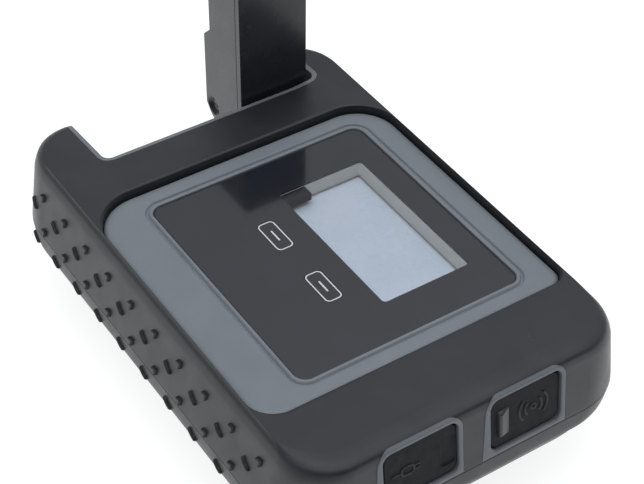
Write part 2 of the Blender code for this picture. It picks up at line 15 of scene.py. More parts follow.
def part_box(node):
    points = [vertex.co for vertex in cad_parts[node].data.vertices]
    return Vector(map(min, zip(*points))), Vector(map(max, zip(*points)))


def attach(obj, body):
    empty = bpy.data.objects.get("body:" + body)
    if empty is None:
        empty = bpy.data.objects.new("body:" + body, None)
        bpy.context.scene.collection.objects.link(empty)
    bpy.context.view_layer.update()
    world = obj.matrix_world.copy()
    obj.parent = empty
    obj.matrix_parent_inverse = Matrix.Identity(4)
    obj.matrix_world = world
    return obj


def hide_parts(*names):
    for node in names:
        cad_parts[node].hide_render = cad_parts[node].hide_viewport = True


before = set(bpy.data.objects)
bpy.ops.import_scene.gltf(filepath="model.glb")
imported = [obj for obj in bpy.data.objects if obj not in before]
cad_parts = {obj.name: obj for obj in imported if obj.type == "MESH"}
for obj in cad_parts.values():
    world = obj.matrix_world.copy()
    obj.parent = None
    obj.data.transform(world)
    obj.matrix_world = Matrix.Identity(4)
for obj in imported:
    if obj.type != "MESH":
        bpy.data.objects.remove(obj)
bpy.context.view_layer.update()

MM = 0.001


# ---------- sizes read from the frame
def span(node, axis):
    """Lowest and highest millimetre of a CAD node along an axis."""
    low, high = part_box(node)
    return (low[axis] / MM, high[axis] / MM)


def spans(node):
    return tuple(span(node, axis) for axis in (X, Y, Z))


def middle(node, axis):
    return sum(span(node, axis)) / 2


def grown(ends, by):
    return (ends[0] - by, ends[1] + by)


def about(centre, half):
    return (centre - half, centre + half)


X, Y, Z = 0, 1, 2
CAD_GAP = 0.3
PORT_END = span("bottom_shell", X)[1]
HALF_WIDTH = span("bottom_shell", Y)[1]
PARTING = (span("bottom_shell", Z)[1] + span("top_shell", Z)[0]) / 2
TOP = span("top_shell", Z)[1]
BEZEL_X, BEZEL_Y, BEZEL_Z = spans("bezel")
GLASS_X, GLASS_Y, GLASS_Z = spans("glass_panel")
WINDOW_X, WINDOW_Y = (grown(ends, CAD_GAP) for ends in spans("display_window")[:2])
LINER = 1.0
BAY_X = span("bay_liner", X)[1] - LINER
BAY_Y = grown(span("bay_liner", Y), -LINER)
ANTENNA_X = (span("antenna_case", X)[0], span("antenna_lid", X)[1])
ANTENNA_Y = span("antenna_case", Y)
ANTENNA_TIP = span("antenna_case", Z)[1]
LID_X = span("antenna_lid", X)[0]
AXIS_Y, AXIS_Z = middle("hinge_shaft", Y), middle("hinge_shaft", Z)
SHAFT = (span("hinge_shaft", Z)[1] - span("hinge_shaft", Z)[0]) / 2
DOOR_X, DOOR_Y, DOOR_Z = spans("battery_door")
WELL_X, WELL_Y = spans("battery_well")[:2]
SCREW_X = middle("door_screw", X)

# Shape of the body, as in the CAD
BAY_END = -57.0
CORNERS, TOP_CORNERS = (13.5, 15.5), (10.0, 13.0)      # port end, bay end
BEZEL_CORNERS = (3.0, 9.0, 9.5, 5.5)                   # anticlockwise from +X +Y
GLASS_CORNER, WINDOW_CORNER, KEY_CORNER = 2.3, 0.9, 1.1
BAY_CORNER, WELL_CORNER, DOOR_CORNER = 1.8, 3.3, 5.0
WALL_TOP = 28.4
PORT_TILT, BAY_TILT, GRIP_TILT = math.radians(7.5), math.radians(3.6), math.radians(12.0)
HOLLOW_X, HOLLOW_HALF_WIDTH, HOLLOW_CORNER = (-37.5, 53.4), 33.6, 26.8
HOLLOW_FLOOR, HOLLOW_ROOF, WELL_FLOOR = 13.5, 25.4, 2.4
BUSH_HOLE = 4.5           # radius of the hinge's hole through the shells
SEAM = 0.05               # between the two shells, and round the ports


# ---------- frames
def axes_frame(origin, x_axis, y_axis):
    """A frame in millimetres from its origin and its first two axes."""
    x_axis, y_axis = Vector(x_axis), Vector(y_axis)
    columns = Matrix((x_axis, y_axis, x_axis.cross(y_axis))).transposed()
    return Matrix.Translation(Vector(origin)) @ columns.to_4x4()


def along_x(x, y, z):
    """Local +Z points along +X."""
    return axes_frame((x, y, z), (0, 1, 0), (0, 0, 1))


def upright(x, y):
    return Matrix.Translation((x, y, 0.0))


WORLD = Matrix.Identity(4)


# ---------- meshes
def make(name, points, faces, place=WORLD):
    """A mesh object from points in millimetres of the frame `place`."""
    mesh = bpy.data.meshes.new(name)
    mesh.from_pydata([(place @ Vector(p)) * MM for p in points], [], faces)
    edit = bmesh.new()
    edit.from_mesh(mesh)
    bmesh.ops.recalc_face_normals(edit, faces=edit.faces)
    edit.to_mesh(mesh)
    edit.free()
    made = bpy.data.objects.new(name, mesh)
    bpy.context.collection.objects.link(made)
    return made


def bridge(rings, closed):
    """The faces between neighbouring rings of equal length, with end caps or closed on itself."""
    count = len(rings[0])
    faces = []
    last = len(rings) if closed else len(rings) - 1
    for level in range(last):
        low, high = level * count, (level + 1) % len(rings) * count
        for i in range(count):
            j = (i + 1) % count
            faces.append((low + i, low + j, high + j, high + i))
    if not closed:
        faces.append(tuple(reversed(range(count))))
        faces.append(tuple(range((len(rings) - 1) * count, len(rings) * count)))
    return faces


def loft(name, rings, closed=False, place=WORLD):
    return make(name, [p for ring in rings for p in ring], bridge(rings, closed), place)


def rectangle(x, y, radii, z, arc=12):
    """A ring of points round a rectangle at height z. Its corners have one radius, or four,
    anticlockwise from the +X +Y corner."""
    radii = radii if isinstance(radii, tuple) else (radii,) * 4
    corners = ((x[1], y[1]), (x[0], y[1]), (x[0], y[0]), (x[1], y[0]))
    ring = []
    for quarter, (cx, cy) in enumerate(corners):
        radius = max(radii[quarter], 0.03)
        centre_x = cx - radius if cx == x[1] else cx + radius
        centre_y = cy - radius if cy == y[1] else cy + radius
        for step in range(arc + 1):
            turn = math.pi / 2 * (quarter + step / arc)
            ring.append((centre_x + radius * math.cos(turn), centre_y + radius * math.sin(turn), z))
    return ring


def eased(radii, by):
    """Corner radii of an outline that has moved outwards by `by`."""
    return tuple(max(radius + by, 0.1) for radius in radii)


ROUNDING_STEPS = 4


def rounding(radius):
    """(inset, drop) pairs round a convex edge, from its side wall to its top face."""
    if not radius:
        return [(0.0, 0.0)]
    turns = (math.pi / 2 * i / ROUNDING_STEPS for i in range(ROUNDING_STEPS + 1))
    return [(radius * (1 - math.cos(t)), radius * (1 - math.sin(t))) for t in turns]


def slab(name, x, y, z, corner, soft=0.2, soft_below=None, arc=12):
    """A plate with rounded corners and rounded rims; a soft of 0 leaves that rim sharp."""
    soft_below = soft if soft_below is None else soft_below
    levels = [(inset, z[0] + drop) for inset, drop in reversed(rounding(soft_below))]
    levels += [(inset, z[1] - drop) for inset, drop in rounding(soft)]
    return loft(name, [rectangle(grown(x, -inset), grown(y, -inset), corner - inset, height, arc)
                       for inset, height in levels])


def prism(name, x, y, corner, z, arc=12, place=WORLD):
    """A straight block with rounded corners, mostly to cut with."""
    return loft(name, [rectangle(x, y, corner, height, arc) for height in z], place=place)


def growing(x, y, corner, profile):
    """Rings round a rectangle that has grown by g at each height, from (g, height) pairs."""
    return [rectangle(grown(x, g), grown(y, g), corner + g, z) for g, z in profile]


def turned(name, profile, closed=False, sides=48, place=WORLD):
    """A solid of revolution about local Z from (radius, height) pairs."""
    rings = []
    for radius, z in profile:
        turns = (2 * math.pi * i / sides for i in range(sides))
        rings.append([(radius * math.cos(t), radius * math.sin(t), z) for t in turns])
    return loft(name, rings, closed=closed, place=place)


def applied(target):
    """The object's mesh becomes what its modifiers make of it."""
    shape = target.evaluated_get(bpy.context.evaluated_depsgraph_get())
    before = target.data
    target.data = bpy.data.meshes.new_from_object(shape)
    target.modifiers.clear()
    bpy.data.meshes.remove(before)
    return target


def remove(obj):
    mesh = obj.data
    bpy.data.objects.remove(obj)
    bpy.data.meshes.remove(mesh)


def carve(target, *tools, operation="DIFFERENCE"):
    """Cuts the tools away from the target, or joins or intersects it with them."""
    for tool in tools:
        step = target.modifiers.new("carve", "BOOLEAN")
        step.operation, step.solver, step.object = operation, "EXACT", tool
        applied(target)
        remove(tool)
    return target


def fuse(target, *others):
    """One object from several whose surfaces may simply pass through each other."""
    edit = bmesh.new()
    for part in (target, *others):
        edit.from_mesh(part.data)
    edit.to_mesh(target.data)
    edit.free()
    for part in others:
        remove(part)
    return target


def soften(target, width, angle):
    """Rounds the edges that turn by more than the angle."""
    step = target.modifiers.new("soften", "BEVEL")
    step.width, step.segments, step.limit_method = width * MM, 3, "ANGLE"
    step.angle_limit = math.radians(angle)
    step.miter_outer = "MITER_ARC"
    return applied(target)


def shade(target, angle):
    """Smooth but for the edges that turn by more than the angle, with broad faces kept flat."""
    target.data.shade_smooth()
    target.data.set_sharp_from_angle(angle=math.radians(angle))
    step = target.modifiers.new("weights", "WEIGHTED_NORMAL")
    step.keep_sharp = True
    applied(target)


def piece(target, finish, body, nodes=(), angle=32.0):
    """Gives a finished shape its material, its body and the CAD nodes it stands for."""
    shade(target, angle)
    target.data.materials.clear()
    target.data.materials.append(finish)
    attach(target, body)
    if nodes:
        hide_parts(*nodes)


# A rib's section for a width and a height of 1: a round back, with its feet below the ground
RIB_BEND = 5
RIB_TURNS = (math.pi * i / RIB_BEND for i in range(RIB_BEND + 1))
RIB_BACK = [(-0.5 * math.cos(t), math.sin(t) ** 0.7) for t in RIB_TURNS]
RIB_SECTION = [(-0.5, -0.3), *RIB_BACK, (0.5, -0.3)]
RIB_END = Vector((0.45, 0.45, 1.0))       # how much a rib narrows at its ends


def across(direction):
    """The direction at right angles, to the left."""
    return Vector((-direction.y, direction.x, 0.0))


def rib_end(ring, tip, before, width, height):
    """A lower, narrower ring a little beyond a rib's last one, to round its end."""
    onward = (tip - before).normalized() * (width * 0.35)
    cap = [tip + (p - tip) * RIB_END for p in ring]
    return [Vector((p.x, p.y, min(p.z, height * 0.55))) + onward for p in cap]


def stroke(points, width, height, closed=False):
    """Points and faces of a rib that runs along a plane line of points."""
    line = [Vector((x, y, 0.0)) for x, y in points]
    count = len(line)
    rings = []
    for i, here in enumerate(line):
        before = line[i - 1] if i or closed else here
        after = line[(i + 1) % count] if i + 1 < count or closed else here
        into, out = (here - before).normalized(), (after - here).normalized()
        turns = into.length and out.length
        side = across((into + out).normalized() if turns else into + out)
        stretch = 1.0 / max(0.5, abs(side.dot(across(out)))) if turns else 1.0
        rings.append([here + side * (s * width * stretch) + Vector((0, 0, h * height))
                      for s, h in RIB_SECTION])
    if not closed:
        rings.insert(0, rib_end(rings[0], line[0], line[1], width, height))
        rings.append(rib_end(rings[-1], line[-1], line[-2], width, height))
    return [p for ring in rings for p in ring], bridge(rings, closed)


def arc_points(centre, radius, start, end, steps):
    """Points of an arc from one angle to another, in degrees."""
    turns = (math.radians(start + (end - start) * i / steps) for i in range(steps + 1))
    return [(centre[0] + radius * math.cos(t), centre[1] + radius * math.sin(t)) for t in turns]


def gathered(shapes):
    """One list of points and faces from several."""
    points, faces = [], []
    for more_points, more_faces in shapes:
        start = len(points)
        points += more_points
        faces += [tuple(start + i for i in face) for face in more_faces]
    return points, faces


SMOOTH_STEPS = 4


def curve_value(before, start, end, after, t):
    """A smooth curve's value at the share t of the way from start to end."""
    return 0.5 * (2 * start + (end - before) * t + (2 * before - 5 * start + 4 * end - after) * t * t
                  + (3 * start - before - 3 * end + after) * t ** 3)


def smoothed(sections):
    """More sections between the given ones, on smooth curves through them."""
    first = tuple(2 * a - b for a, b in zip(sections[0], sections[1]))
    last = tuple(2 * a - b for a, b in zip(sections[-1], sections[-2]))
    ends = [first, *sections, last]
    result = []
    for four in zip(ends, ends[1:], ends[2:], ends[3:]):
        for step in range(SMOOTH_STEPS):
            result.append(tuple(curve_value(*values, step / SMOOTH_STEPS) for values in zip(*four)))
    return result + [sections[-1]]


# ---------- materials
def connect(tree, source, socket):
    """Links a node's output to a socket, or gives the socket a constant."""
    if hasattr(source, "links"):
        tree.links.new(source, socket)
    else:
        socket.default_value = source


def arithmetic(tree, operation, *values):
    """The output of a new Math node."""
    node = tree.nodes.new("ShaderNodeMath")
    node.operation = operation
    for value, socket in zip(values, node.inputs):
        connect(tree, value, socket)
    return node.outputs[0]


class Finish:
    """A procedural material built node by node round one Principled shader."""

    def __init__(self, name, **sockets):
        self.material = bpy.data.materials.new(name)
        self.material.use_nodes = True
        self.tree = self.material.node_tree
        self.shader = self.tree.nodes["Principled BSDF"]
        for socket, value in sockets.items():
            self.shader.inputs[socket.replace("_", " ")].default_value = value
        self.place = self.add("ShaderNodeTexCoord").outputs["Object"]
        self.height = None

    def add(self, kind, **settings):
        node = self.tree.nodes.new(kind)
        for setting, value in settings.items():
            setattr(node, setting, value)
        return node

    def feed(self, source, socket):
        connect(self.tree, source, socket)

    def math(self, operation, *values):
        return arithmetic(self.tree, operation, *values)

    def texture(self, kind, size, place, **sockets):
        """A texture's outputs; its features are about `size` millimetres across."""
        node = self.add(kind)
        self.feed(place, node.inputs["Vector"])
        self.feed(1.0 / (size * MM), node.inputs["Scale"])
        for socket, value in sockets.items():
            self.feed(value, node.inputs[socket])
        return node.outputs

    def noise(self, size, detail=2.0, roughness=0.5, stretch=None):
        place = self.stretched(stretch) if stretch else self.place
        return self.texture("ShaderNodeTexNoise", size, place, Detail=detail, Roughness=roughness)["Fac"]

    def cells(self, size, output="Distance"):
        return self.texture("ShaderNodeTexVoronoi", size, self.place)[output]

    def stretched(self, factors):
        node = self.add("ShaderNodeMapping")
        self.feed(factors, node.inputs["Scale"])
        self.feed(self.place, node.inputs["Vector"])
        return node.outputs["Vector"]

    def ramp(self, value, *stops):
        """Greys along a value; each stop is (position, grey)."""
        node = self.add("ShaderNodeValToRGB")
        elements = node.color_ramp.elements
        while len(elements) < len(stops):
            elements.new(0.5)
        for element, (position, grey) in zip(elements, stops):
            element.position = position
            element.color = (grey, grey, grey, 1.0)
        self.feed(value, node.inputs["Fac"])
        return node.outputs["Color"]

    def mapped(self, value, source, target, kind="LINEAR"):
        """The value, with the range `source` stretched to the range `target`."""
        node = self.add("ShaderNodeMapRange", interpolation_type=kind)
        sockets = ("Value", "From Min", "From Max", "To Min", "To Max")
        for socket, number in zip(sockets, (value, *source, *target)):
            self.feed(number, node.inputs[socket])
        return node.outputs["Result"]

    def spread(self, value, low, high):
        """The middle of a noise's range stretched to low..high."""
        return self.mapped(value, (0.3, 0.7), (low, high))

    def mix(self, share, one, other):
        node = self.add("ShaderNodeMix", data_type="RGBA")
        self.feed(share, node.inputs["Factor"])
        for colour, socket in ((one, node.inputs["A"]), (other, node.inputs["B"])):
            self.feed((*colour, 1.0) if isinstance(colour, tuple) else colour, socket)
        return node.outputs["Result"]

    def coordinate(self, axis):
        node = self.add("ShaderNodeSeparateXYZ")
        self.feed(self.place, node.inputs[0])
        return node.outputs[axis]

    def between(self, axis, low, high, soft):
        """1 where the coordinate lies between two millimetre values, 0 elsewhere."""
        value = self.coordinate(axis)
        rise, fall = (self.mapped(value, ((edge - soft) * MM, (edge + soft) * MM), ends, "SMOOTHSTEP")
                      for edge, ends in ((low, (0.0, 1.0)), (high, (1.0, 0.0))))
        return self.math("MULTIPLY", rise, fall)

    def colour(self, source):
        self.feed(source, self.shader.inputs["Base Color"])

    def rough(self, noise, low, high):
        self.feed(self.spread(noise, low, high), self.shader.inputs["Roughness"])

    def bump(self, height, depth, strength=0.5):
        """Relief of `depth` millimetres, added to any relief already there."""
        node = self.add("ShaderNodeBump")
        for socket, value in (("Strength", strength), ("Distance", depth * MM), ("Height", height)):
            self.feed(value, node.inputs[socket])
        if self.height:
            self.feed(self.height, node.inputs["Normal"])
        self.height = node.outputs["Normal"]
        self.feed(self.height, self.shader.inputs["Normal"])


def dusted(made, dark, light, dust, size):
    """Two close tones in soft patches, with sparse specks of lint."""
    tone = made.mix(made.spread(made.noise(9.0, 3.0), 0.0, 1.0), dark, light)
    near = made.ramp(made.cells(size), (0.0, 1.0), (0.045, 0.7), (0.07, 0.0))
    sparse = made.ramp(made.cells(size, "Color"), (0.86, 0.0), (0.88, 1.0))
    made.colour(made.mix(made.math("MULTIPLY", near, sparse), tone, dust))


def moulded(name, tones, dust_size, patches, gloss, grain):
    """Moulded plastic: its dark, light and dust tones, specks of dust, roughness that varies in
    patches, and a fine grain of (size, depth)."""
    made = Finish(name)
    dusted(made, *tones, dust_size)
    made.rough(made.noise(*patches), *gloss)
    made.bump(made.noise(grain[0]), grain[1])
    return made.material


def soft_rubber():
    """Soft-touch overmould: near black, satin, with the fine grain of a spark-eroded mould."""
    made = Finish("soft_rubber", Sheen_Weight=0.12, Sheen_Roughness=0.4)
    dusted(made, (0.0165, 0.0175, 0.0215), (0.0225, 0.0235, 0.0285), (0.16, 0.16, 0.16), 1.6)
    made.rough(made.noise(5.0, 4.0), 0.37, 0.47)
    made.bump(made.noise(0.16), 0.012, 0.55)
    made.bump(made.noise(2.6), 0.03, 0.25)
    return made.material


def gloss_panel_finish():
    """Back-printed charcoal panel under a hard gloss coat with faint smears."""
    made = Finish("gloss_panel", Coat_Weight=0.35, Coat_Roughness=0.05)
    dusted(made, (0.0155, 0.0175, 0.0235), (0.0185, 0.0205, 0.0270), (0.25, 0.24, 0.23), 3.0)
    made.rough(made.noise(4.0, 5.0, 0.65, (1.0, 0.35, 1.0)), 0.07, 0.15)
    made.bump(made.noise(14.0, 1.0), 0.03, 0.15)
    return made.material


def window_clear():
    """Clear pane: see-through, with the gloss of its face and a trace of smears."""
    made = Finish("window_clear")
    clear, mirror = made.add("ShaderNodeBsdfTransparent"), made.add("ShaderNodeBsdfGlossy")
    clear.inputs["Color"].default_value = (0.95, 0.965, 0.975, 1.0)
    mirror.inputs["Color"].default_value = (1.0, 1.0, 1.0, 1.0)
    made.feed(made.spread(made.noise(5.0, 4.0, 0.6), 0.03, 0.10), mirror.inputs["Roughness"])
    fresnel, mixed = made.add("ShaderNodeFresnel"), made.add("ShaderNodeMixShader")
    fresnel.inputs["IOR"].default_value = 1.45
    behind = made.add("ShaderNodeNewGeometry").outputs["Backfacing"]
    share = made.math("MULTIPLY", fresnel.outputs[0], made.math("SUBTRACT", 1.0, behind))
    for source, socket in zip((share, clear.outputs[0], mirror.outputs[0]), mixed.inputs):
        made.feed(source, socket)
    made.feed(mixed.outputs[0], made.tree.nodes["Material Output"].inputs["Surface"])
    made.tree.nodes.remove(made.shader)
    return made.material


DOT_PITCH = 0.27
FIELD_MARGIN, FIELD_OVERLAP = 1.3, 0.5    # the border shows on two sides; on two the field runs out of view


def display_finish():
    """Reflective display: a pale blue field of fine dots inside a warmer border."""
    made = Finish("display_field")
    field = made.math("MULTIPLY",
                      made.between(X, WINDOW_X[0] + FIELD_MARGIN, WINDOW_X[1] + FIELD_OVERLAP, 0.12),
                      made.between(Y, WINDOW_Y[0] - FIELD_OVERLAP, WINDOW_Y[1] - FIELD_MARGIN, 0.12))
    drift = made.spread(made.noise(12.0, 1.0), 0.0, 1.0)
    blue = made.mix(drift, (0.62, 0.67, 0.76), (0.69, 0.70, 0.79))
    half = DOT_PITCH * MM / 2
    gaps = made.math("MINIMUM", *(made.math("PINGPONG", made.coordinate(axis), half) for axis in (X, Y)))
    dots = made.ramp(made.math("DIVIDE", gaps, half), (0.0, 0.0), (0.12, 0.0), (0.24, 1.0))
    blue = made.mix(made.math("MULTIPLY", dots, 0.08), blue, (0.36, 0.43, 0.50))
    made.colour(made.mix(field, (0.56, 0.54, 0.51), blue))
    made.rough(made.noise(3.0), 0.24, 0.34)
    return made.material


def brushed_metal(name, colour, roughness, grain=(1.0, 8.0, 1.0)):
    made = Finish(name, Metallic=1.0)
    streaks = made.noise(0.9, 4.0, 0.6, grain)
    dark, light = (tuple(min(1.0, part * factor) for part in colour) for factor in (0.85, 1.18))
    made.colour(made.mix(streaks, dark, light))
    made.rough(streaks, roughness * 0.8, roughness * 1.35)
    made.bump(streaks, 0.004, 0.4)
    return made.material


def board_finish():
    """Green solder mask with copper tracks under it and tinned pads."""
    made = Finish("board_mask", Coat_Weight=0.3, Coat_Roughness=0.12)
    tracks = made.add("ShaderNodeTexBrick", offset=0.37, squash=0.6)
    settings = {"Vector": made.place, "Scale": 1.0 / (3.2 * MM), "Mortar Size": 0.045, "Mortar Smooth": 0.1,
                "Brick Width": 0.9, "Row Height": 0.22, "Color1": (0.010, 0.080, 0.040, 1.0),
                "Color2": (0.014, 0.105, 0.052, 1.0), "Mortar": (0.035, 0.19, 0.085, 1.0)}
    for socket, value in settings.items():
        made.feed(value, tracks.inputs[socket])
    pads = made.ramp(made.cells(1.9), (0.10, 1.0), (0.13, 0.0))
    made.colour(made.mix(pads, tracks.outputs["Color"], (0.55, 0.52, 0.44)))
    made.rough(made.noise(1.5, 3.0), 0.26, 0.42)
    made.bump(tracks.outputs["Fac"], 0.02)
    return made.material


def mottled(name, dark, light, patches, gloss_size, gloss, relief=None):
    """Two tones in soft patches with uneven gloss; the relief is (size, depth, strength)."""
    made = Finish(name)
    made.colour(made.mix(made.noise(*patches), dark, light))
    made.rough(made.noise(gloss_size), *gloss)
    if relief:
        made.bump(made.noise(relief[0]), *relief[1:])
    return made.material


def grained(name, dark, light, rough, grain=0.3, depth=0.01, patch=2.0, specular=0.5):
    """A plain moulded or printed finish: two tones in patches, varied gloss and a fine grain."""
    made = Finish(name, Specular_IOR_Level=specular)
    made.colour(made.mix(made.spread(made.noise(patch, 3.0), 0.0, 1.0), dark, light))
    made.rough(made.noise(patch * 0.7, 3.0), rough * 0.85, rough * 1.15)
    made.bump(made.noise(grain), depth)
    return made.material


RUBBER, GLOSS, CLEAR = soft_rubber(), gloss_panel_finish(), window_clear()
DISPLAY, BOARD = display_finish(), board_finish()
BEZEL = moulded("bezel_plastic", ((0.200, 0.217, 0.244), (0.222, 0.240, 0.267), (0.48, 0.49, 0.50)), 2.2,
                (7.0, 4.0, 0.6), (0.34, 0.46), (0.2, 0.010))
LINING = moulded("liner_plastic", ((0.175, 0.187, 0.203), (0.205, 0.218, 0.235), (0.4, 0.4, 0.4)), 2.4,
                 (4.0, 3.0), (0.36, 0.5), (0.22, 0.012))
PORT_GREY = moulded("port_plastic", ((0.118, 0.132, 0.150), (0.138, 0.152, 0.171), (0.38, 0.38, 0.38)), 2.4,
                    (3.0, 3.0), (0.38, 0.52), (0.2, 0.012))
BLACK = moulded("hard_black", ((0.0205, 0.0215, 0.0265), (0.0275, 0.0290, 0.0345), (0.07, 0.07, 0.07)), 2.0,
                (6.0, 4.0), (0.22, 0.32), (0.24, 0.009))
GRIP = mottled("grip_rubber", (0.008, 0.0085, 0.010), (0.017, 0.018, 0.020), (1.2, 3.0), 0.8, (0.52, 0.7),
               (0.14, 0.015, 0.6))
INK = mottled("print_ink", (0.70, 0.71, 0.73), (0.84, 0.85, 0.86), (0.3,), 0.5, (0.38, 0.52))
WARM = mottled("warm_frame", (0.52, 0.51, 0.49), (0.60, 0.59, 0.57), (2.0, 3.0), 1.0, (0.42, 0.58),
               (0.2, 0.01, 0.4))
STEEL = brushed_metal("brushed_steel", (0.56, 0.56, 0.58), 0.27)
DARK_STEEL = brushed_metal("dark_steel", (0.10, 0.10, 0.11), 0.36)
TIN = brushed_metal("shield_tin", (0.62, 0.62, 0.60), 0.34, (6.0, 1.0, 1.0))
BRASS = brushed_metal("turned_brass", (0.64, 0.47, 0.20), 0.28)
CERAMIC = grained("patch_ceramic", (0.50, 0.45, 0.37), (0.60, 0.55, 0.46), 0.5)
BATTERY = grained("battery_wrap", (0.075, 0.078, 0.086), (0.098, 0.100, 0.108), 0.36, patch=6.0)
SEAL = grained("seal_rubber", (0.045, 0.046, 0.048), (0.065, 0.066, 0.068), 0.72)
CARD = grained("card_plastic", (0.68, 0.68, 0.66), (0.76, 0.76, 0.74), 0.42)
RED = grained("alert_red", (0.50, 0.030, 0.022), (0.62, 0.045, 0.034), 0.36)
COVER = grained("cover_rubber", (0.0100, 0.0110, 0.0140), (0.0150, 0.0160, 0.0200), 0.5, grain=0.18,
                depth=0.012, specular=0.12)


# ---------- outside of the body
SHOULDERS = ((29.6, -56.2, 54.67, 35.3), (30.8, -56.1, 54.3, 34.8), (31.4, -55.74, 53.6, 34.4),
             (31.8, -55.2, 52.3, 34.15), (TOP, -54.5, 50.0, 34.1))       # height, ends, half width
# height, port end, half width, corner
BELLY = ((0.0, 37.5, 27.5, 12.5), (0.8, 39.5, 29.0, 13.0), (3.5, 44.5, 31.0, 13.5), (7.0, 50.5, 33.4, 16.5),
         (10.0, 54.3, 35.5, 17.5), (12.4, 55.6, 37.3, 17.0), (13.8, PORT_END, HALF_WIDTH, 16.0))
LIP = ((0.14, 0.0), (0.03, 0.06), (0.0, 0.3))              # inset and depth of a shell's edge at the joint
BODY_ARC = 18
RIM_HALF_WIDTH = 34.06
RIM_OUTER, RIM_INNER = 4.0, 1.6                            # distance from the bezel
DROP_FOOT, BAY_DROP, PORT_DROP = 24.0, 2.4, 0.3            # the top drops towards its two ends
BAY_SLOPE, PORT_SLOPE = 13.0, 80.0                         # lengths over which it does
LEVEL_Y, FADE_Y = 22.0, 12.0                               # the bay's drop fades out beyond this |y|
PORT_HALF_WIDTH, PORT_FLARE, PORT_V, PORT_CORNER = 8.95, 1.0, (0.35, 14.0), 2.8


def clamped(share):
    return max(0.0, min(1.0, share))


def settled(point):
    """A point of the top, lowered towards the antenna bay and a little towards the ports."""
    x, y, z = point
    share = clamped((z - DROP_FOOT) / (TOP - DROP_FOOT))
    to_bay = clamped((BEZEL_X[0] - 1.0 - x) / BAY_SLOPE)
    to_bay = to_bay * to_bay * (3 - 2 * to_bay) * 0.5 + to_bay * 0.5
    off_middle = clamped((abs(y) - LEVEL_Y) / FADE_Y)
    to_ports = clamped((x - BEZEL_X[0]) / PORT_SLOPE)
    return (x, y, z - share * (BAY_DROP * to_bay * (1.0 - off_middle) + PORT_DROP * to_ports))


def body_ring(z, ends, half_width, corners):
    """An outline of the body; corners are for the port end and the bay end."""
    port_corner, bay_corner = corners
    radii = (port_corner, bay_corner, bay_corner, port_corner)
    return rectangle(ends, about(0.0, half_width), radii, z, BODY_ARC)


def upper_ring(z, bay_end, port_end, width, inset=0.0):
    """An outline above the parting line, whose corners tighten up to the top of the wall."""
    straight = clamped((z - PARTING) / (WALL_TOP - PARTING))
    corners = [low + (top - low) * straight - inset for low, top in zip(CORNERS, TOP_CORNERS)]
    return [settled(p) for p in body_ring(z, grown((bay_end, port_end), -inset), width - inset, corners)]


def wall_section(z):
    """Height, ends and half width of the leaning wall."""
    rise = z - PARTING
    return (z, BAY_END + rise * math.tan(BAY_TILT), PORT_END - rise * math.tan(PORT_TILT),
            HALF_WIDTH - rise * math.tan(GRIP_TILT))


def rim_ring(beyond):
    """A ring of the raised rim round the bezel, this far beyond the bezel's edge."""
    corners = eased(BEZEL_CORNERS, beyond * 0.8)
    ring = rectangle(grown(BEZEL_X, beyond), about(0.0, RIM_HALF_WIDTH), corners, TOP, BODY_ARC)
    return [settled(point) for point in ring]


def upper_rings(bottom):
    """The outside above the parting line: leaning walls and soft shoulders."""
    walls = [wall_section(z) for z in (bottom, 20.0, 23.0, 26.0, WALL_TOP)]
    return [upper_ring(*section) for section in smoothed([*walls, *SHOULDERS])]


def lower_rings(top):
    """The outside below the parting line: it draws in to the belly that holds the battery."""
    sections = smoothed([*BELLY, (PARTING, PORT_END, HALF_WIDTH, sum(CORNERS) / 2)])
    return [body_ring(z, (BAY_END + PORT_END - port_end, port_end), width, (corner - 1.0, corner + 1.0))
            for z, port_end, width, corner in sections if z < top - LIP[-1][1]]


def outside_block(name):
    """The whole body's outside as one solid."""
    rim = [rim_ring(RIM_OUTER), rim_ring(RIM_INNER)]
    return loft(name, lower_rings(PARTING) + upper_rings(PARTING) + rim)


def bay_block(name, grow, z=(-2.0, 36.0)):
    """The space of the antenna bay, grown on its closed sides."""
    return prism(name, (BAY_END - 6.0, BAY_X + grow), grown(BAY_Y, grow), BAY_CORNER + grow, z)


def shaft_hole(radius, x=(-45.0, -31.0)):
    return turned("shaft", ((radius, 0.0), (radius, x[1] - x[0])), place=along_x(x[0], AXIS_Y, AXIS_Z))


def port_frame(port):
    """On the +X end wall at a port: local x along +Y, y up the wall, z out of it."""
    up = (-math.sin(PORT_TILT), 0, math.cos(PORT_TILT))
    return axes_frame((PORT_END, middle(f"{port}_frame", Y), PARTING), (0, 1, 0), up)


def port_outline(inset, depth):
    """A ring of a port's frame. Outside, it is round above and square below, with its -Y foot
    spread out; inside, all four corners are round."""
    low, high = PORT_V
    flare, lower = (PORT_FLARE, 0.25) if inset <= 0.3 else (0.0, 1.6)
    upper = PORT_CORNER - inset
    ends = (low + inset, high - inset)
    ring = rectangle(about(0.0, PORT_HALF_WIDTH - inset), ends, (upper, upper, lower, lower), depth)
    return [(x - flare * (high - y) / (high - low) if x < 0.0 else x, y, z) for x, y, z in ring]


def end_openings():
    """What opens both shells at their ends: the antenna bay and the two ports."""
    ports = [loft("port", [port_outline(-SEAM, depth) for depth in (-8.0, 5.0)], place=port_frame(port))
             for port in ("usb", "sos")]
    return [bay_block("bay", LINER + 0.04), *ports]


def hollow_ring(z):
    return rectangle(HOLLOW_X, about(0.0, HOLLOW_HALF_WIDTH), HOLLOW_CORNER, z, BODY_ARC)


